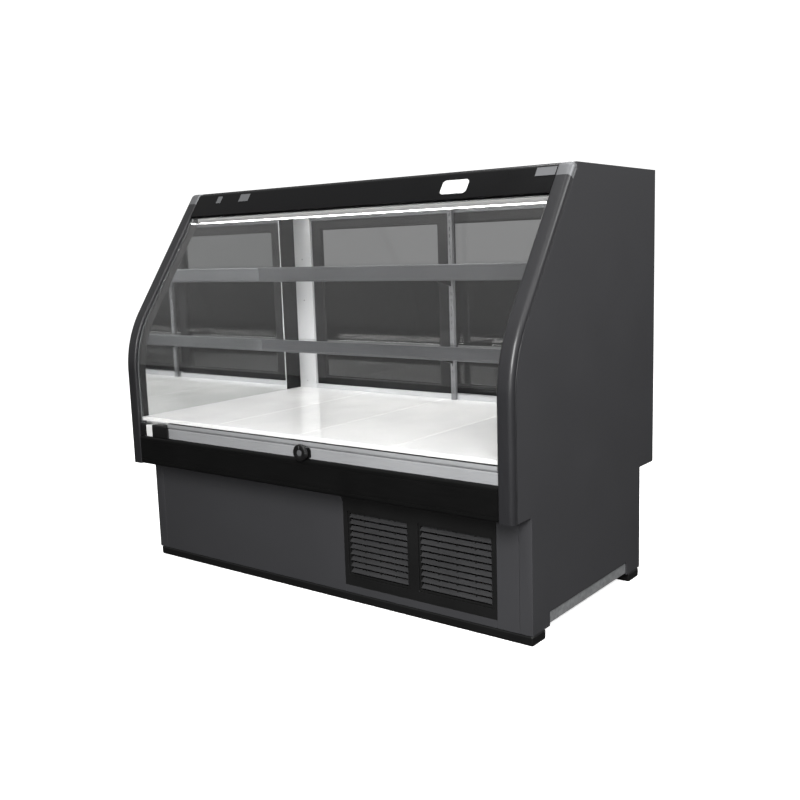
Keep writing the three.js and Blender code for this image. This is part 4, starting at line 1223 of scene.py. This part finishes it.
def fan_rotor():
    """A domed hub with four swept, twisted blades."""
    lo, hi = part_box("condenser_fan")
    x, y, z = (lo + hi) / 2
    root, tip = 19 * MM, (hi.x - lo.x) / 2 - 1 * MM
    blades, spans, chords, half_thick, sweep = 4, 8, 6, 0.7 * MM, 0.25
    bm = bmesh.new()
    add_turned(bm, ((0, -12), (12, -11.6), (19, -9.5), (22, -5), (22, 11), (21, 12), (0, 12)), (x, y, z),
               segments=40)

    def blade_point(base, face, i, k):
        """A point on one face of a blade, i steps out along it and k steps across it."""
        out, across = i / spans, k / chords - 0.5
        r = root + (tip - root) * out
        pitch = math.radians(34 - 14 * out)
        along = across * (38 + 30 * math.sin(math.pi * i / 10)) * MM
        a = base + along * math.cos(pitch) / max(r, 30 * MM) + sweep * out
        rise = (along * math.sin(pitch) + face * half_thick) * 0.9
        r *= 1 - 0.0875 * (2 * across) ** 4 * out ** 3
        return x + r * math.cos(a), y + rise, z + r * math.sin(a)

    rim = [(i, 0) for i in range(spans)] + [(spans, k) for k in range(chords)] \
        + [(i, chords) for i in range(spans, 0, -1)] + [(0, k) for k in range(chords, 0, -1)]
    for blade in range(blades):
        base = 2 * math.pi * blade / blades
        skins = [[[bm.verts.new(blade_point(base, face, i, k)) for k in range(chords + 1)]
                  for i in range(spans + 1)] for face in (-1, 1)]
        for grid, order in zip(skins, (1, -1)):
            for i in range(spans):
                for k in range(chords):
                    bm.faces.new([grid[i][k], grid[i][k + 1], grid[i + 1][k + 1], grid[i + 1][k]][::order])
        for (i0, k0), (i1, k1) in zip(rim, rim[1:] + rim[:1]):
            bm.faces.new((skins[0][i0][k0], skins[0][i1][k1], skins[1][i1][k1], skins[1][i0][k0]))
    piece_from("condenser_fan_finished", bm, black_enamel(), "black_enamel", "condenser_fan",
               "condenser_fan_rotor", smooth_angle=40)


# ---- controls at the back ----
class ShowcaseControls(bpy.types.Operator):
    """Control box with its dial and rocker switch"""
    bl_idname = "showcase.controls"
    bl_label = "Controls"

    def execute(self, context):
        soften("control_box", black_enamel(), "black_enamel", 2 * MM, segments=3)
        dial()
        soften("light_switch", moulded_black(), "black_plastic", 0.8 * MM, body="light_switch", segments=3)
        dial_marks()
        return {"FINISHED"}


def dial():
    """A ribbed thermostat dial with a raised pointer."""
    lo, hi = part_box("thermostat_dial")
    x, _, z = (lo + hi) / 2
    radius, deep, grips = (hi.x - lo.x) / 2, hi.y - lo.y, 24
    # shares of the radius and of the depth, and whether the ring is ribbed
    rings = ((1, 0, 0), (1, 0.12, 0), (0.95, 0.18, 1), (0.87, 0.82, 1), (0.82, 0.9, 0), (0.76, 0.93, 0))
    bm = bmesh.new()
    add_ribbed(bm, x, z, [(radius * r, lo.y + out * deep, ribbed) for r, out, ribbed in rings], grips, 0.35 * MM)
    piece_from("thermostat_dial_finished", bm, moulded_black(), "black_plastic", "thermostat_dial",
               "thermostat_dial")
    pointer = ((x - 0.8 * MM, hi.y - 1.4 * MM, z + 2 * MM), (x + 0.8 * MM, hi.y - 0.4 * MM, z + radius * 0.72))
    piece_from("thermostat_pointer", boxes(pointer), white_enamel(), "black_plastic", body="thermostat_dial",
               bevel=0.2 * MM)


def dial_marks():
    """Plain tick marks round the dial, every third one longer."""
    lo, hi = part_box("thermostat_dial")
    x, _, z = (lo + hi) / 2
    face, half_wide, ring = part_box("control_box")[1].y, 0.35 * MM, 19 * MM
    bm = bmesh.new()
    for i in range(10):
        a = math.radians(-135 + 30 * i)
        half_long = (1.7 if i % 3 == 0 else 1.1) * MM
        ahead, side = Vector((math.sin(a), 0, math.cos(a))), Vector((math.cos(a), 0, -math.sin(a)))
        loft(bm, [[bm.verts.new(Vector((x, y, z)) + ahead * (ring + half_long * v) + side * (half_wide * u))
                   for u, v in ((-1, -1), (1, -1), (1, 1), (-1, 1))] for y in (face - 0.2 * MM, face + 0.15 * MM)])
    piece_from("thermostat_marks", bm, white_enamel(), "black_enamel")


# ---- fixings ----
class ShowcaseFixings(bpy.types.Operator):
    """Screws on the rear panels, control box and jambs"""
    bl_idname = "showcase.fixings"
    bl_label = "Fixings"

    def execute(self, context):
        rearmost, set_back = 0.43, 2.1 * MM
        points = []
        for name, inset, columns, rows in (("base_rear_panel", 16 * MM, 4, 2), ("rear_lower_panel", 16 * MM, 5, 2),
                                           ("control_box", 8 * MM, 2, 2)):
            lo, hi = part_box(name)
            y = hi.y - (set_back if hi.y > rearmost else 0)
            points += [(lo.x + inset + (hi.x - lo.x - 2 * inset) * i / (columns - 1), y,
                        lo.z + inset + (hi.z - lo.z - 2 * inset) * k / (rows - 1))
                       for i in range(columns) for k in range(rows)]
        repeated("rear_panel_screws", pan_head(3.6), points, zinc_screw(), "satin_aluminium", turn=(0, 0, math.pi))
        points, low, spare, rows = [], 40 * MM, 100 * MM, 5
        for side in SIDES:
            lo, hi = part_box(f"rear_jamb_{side}")
            points += [((lo.x + hi.x) / 2, lo.y, lo.z + low + (hi.z - lo.z - spare) * k / (rows - 1))
                       for k in range(rows)]
        repeated("jamb_screws", pan_head(2.6), points, zinc_screw(), "satin_aluminium")
        return {"FINISHED"}


# ---- stage ----
class ShowcaseStage(bpy.types.Operator):
    """Pale floor, soft studio light and the camera"""
    bl_idname = "showcase.stage"
    bl_label = "Stage"

    def execute(self, context):
        floor()
        surroundings()
        for name, place, aim, size, power in (
                # metres and watts: place, aim, edge, power
                ("key_light", (2.7, -3.3, 2.5), (0.5, -0.3, 0.6), 1.6, 205),
                ("side_light", (3.4, 0.7, 3.6), (0.7, 0, 1.1), 1.8, 71),
                ("low_fill", (0.95, -2.6, 0.7), (0.6, -0.4, 0.35), 0.7, 26),
                ("top_light", (0.3, 0.3, 4.4), (0.1, 0.1, 0.6), 2.4, 60),
                ("back_light", (-0.5, 3.6, 3.0), (0, 0, 0.8), 2.4, 70)):
            soft_light(name, place, aim, size, power, glints=name != "low_fill")
        camera()
        return {"FINISHED"}


def floor():
    size = 30
    bm = bmesh.new()
    bm.faces.new([bm.verts.new(p) for p in ((-size, -size, 0), (size, -size, 0), (size, size, 0), (-size, size, 0))])
    mesh = mesh_of("studio_floor", bm)
    mesh.materials.append(studio_paint())
    placed("studio_floor", mesh)


def studio_paint():
    # matt studio floor: white to the eye, with little bounce back onto the case
    material, tree = new_material("white_studio_floor")
    place = node(tree, "ShaderNodeTexCoord").outputs["Object"]
    mottle = node(tree, "ShaderNodeTexNoise", {"Vector": place, "Scale": 3.0, "Detail": 3.0})
    tone = node(tree, "ShaderNodeMix", {0: mottle.outputs["Fac"], "A": rgba(linear("#f4f4f4")),
                                        "B": rgba(linear("#ffffff"))}, data_type="RGBA")
    bright = node(tree, "ShaderNodeBsdfPrincipled",
                  {"Base Color": tone.outputs["Result"], "Roughness": 0.9, "Specular IOR Level": 0.0,
                   "Emission Color": (1, 1, 1, 1), "Emission Strength": 0.8})
    dull = node(tree, "ShaderNodeBsdfDiffuse", {"Color": rgba(linear("#363636"))})
    seen = node(tree, "ShaderNodeLightPath")
    mix = node(tree, "ShaderNodeMixShader",
               {0: seen.outputs["Is Camera Ray"], 1: dull.outputs[0], 2: bright.outputs[0]})
    node(tree, "ShaderNodeOutputMaterial", {"Surface": mix.outputs[0]})
    return material


def surroundings():
    """White all round to the eye, and for everything else a soft light that is stronger from above."""
    world = bpy.data.worlds.new("studio_surround")
    bpy.context.scene.world = world
    world.use_nodes = True
    tree = world.node_tree
    tree.nodes.clear()
    towards = node(tree, "ShaderNodeTexCoord").outputs["Generated"]
    height = node(tree, "ShaderNodeSeparateXYZ", {0: towards})
    horizon, zenith, dim, bright, to_eye = 0.15, 1.0, 0.3, 0.5, 1.15
    level = node(tree, "ShaderNodeMapRange",
                 {0: height.outputs["Z"], 1: horizon, 2: zenith, 3: dim, 4: bright})
    seen = node(tree, "ShaderNodeLightPath")
    shown = node(tree, "ShaderNodeMix", {0: seen.outputs["Is Camera Ray"], "A": level.outputs[0], "B": to_eye})
    light = node(tree, "ShaderNodeBackground", {"Color": (1, 1, 1, 1), "Strength": shown.outputs[0]})
    node(tree, "ShaderNodeOutputWorld", {"Surface": light.outputs[0]})
    bpy.context.scene.view_settings.view_transform = "Standard"


def soft_light(name, place, aim, size, power, glints):
    """A square soft box; glints says whether gloss shows it. It is never seen through glass."""
    lamp = bpy.data.lights.new(name, "AREA")
    lamp.shape = "SQUARE"
    lamp.size = size
    lamp.energy = power
    holder = placed(name, lamp)
    holder.visible_glossy = glints
    holder.visible_transmission = False
    turn = (Vector(aim) - Vector(place)).to_track_quat("-Z", "Y").to_matrix().to_4x4()
    holder.matrix_world = Matrix.Translation(place) @ turn


def camera():
    place = (1.98202, -2.45811, 1.05242)
    turn, rise, roll = 0.6578, 0.1542, -0.0317
    back = Vector((math.sin(turn) * math.cos(rise), -math.cos(turn) * math.cos(rise), math.sin(rise)))
    level = (-back).cross(Vector((0, 0, 1))).normalized()
    up = level.cross(-back)
    across = math.cos(roll) * level + math.sin(roll) * up
    upward = -math.sin(roll) * level + math.cos(roll) * up
    view = bpy.data.cameras.new("showcase_view")
    view.lens = 43.5
    view.sensor_width = 36
    view.clip_start = 0.05
    holder = placed("showcase_view", view)
    holder.matrix_world = Matrix.Translation(place) @ Matrix((across, upward, back)).transposed().to_4x4()
    bpy.context.scene.camera = holder


# ---- panel and registration ----
PIECES = (ShowcaseEnds, ShowcaseCanopy, ShowcaseFront, ShowcaseLock, ShowcaseFrontGlass, ShowcaseInterior,
          ShowcaseShelves, ShowcaseRear, ShowcaseBase, ShowcaseGrilles, ShowcaseUnit, ShowcaseControls,
          ShowcaseFixings, ShowcaseStage)


class ShowcasePanel(bpy.types.Panel):
    """Lists the showcase's pieces"""
    bl_idname = "VIEW3D_PT_showcase"
    bl_label = "Display showcase"
    bl_space_type = "VIEW_3D"
    bl_region_type = "UI"
    bl_category = "Showcase"

    def draw(self, context):
        for settings in (context.scene.showcase_sizes, context.scene.showcase_colours):
            column = self.layout.column(align=True)
            for name in settings.__annotations__:
                column.prop(settings, name)
        column = self.layout.column(align=True)
        for piece in PIECES:
            column.operator(piece.bl_idname)


CLASSES = (CaseSizes, CaseColours, *PIECES, ShowcasePanel)


def register():
    for made in CLASSES:
        bpy.utils.register_class(made)
    bpy.types.Scene.showcase_sizes = PointerProperty(type=CaseSizes)
    bpy.types.Scene.showcase_colours = PointerProperty(type=CaseColours)


def unregister():
    del bpy.types.Scene.showcase_colours
    del bpy.types.Scene.showcase_sizes
    for made in reversed(CLASSES):
        bpy.utils.unregister_class(made)


def main():
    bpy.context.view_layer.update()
    register()
    for piece in PIECES:
        group, name = piece.bl_idname.split(".")
        getattr(getattr(bpy.ops, group), name)()


if __name__ == "__main__":
    main()
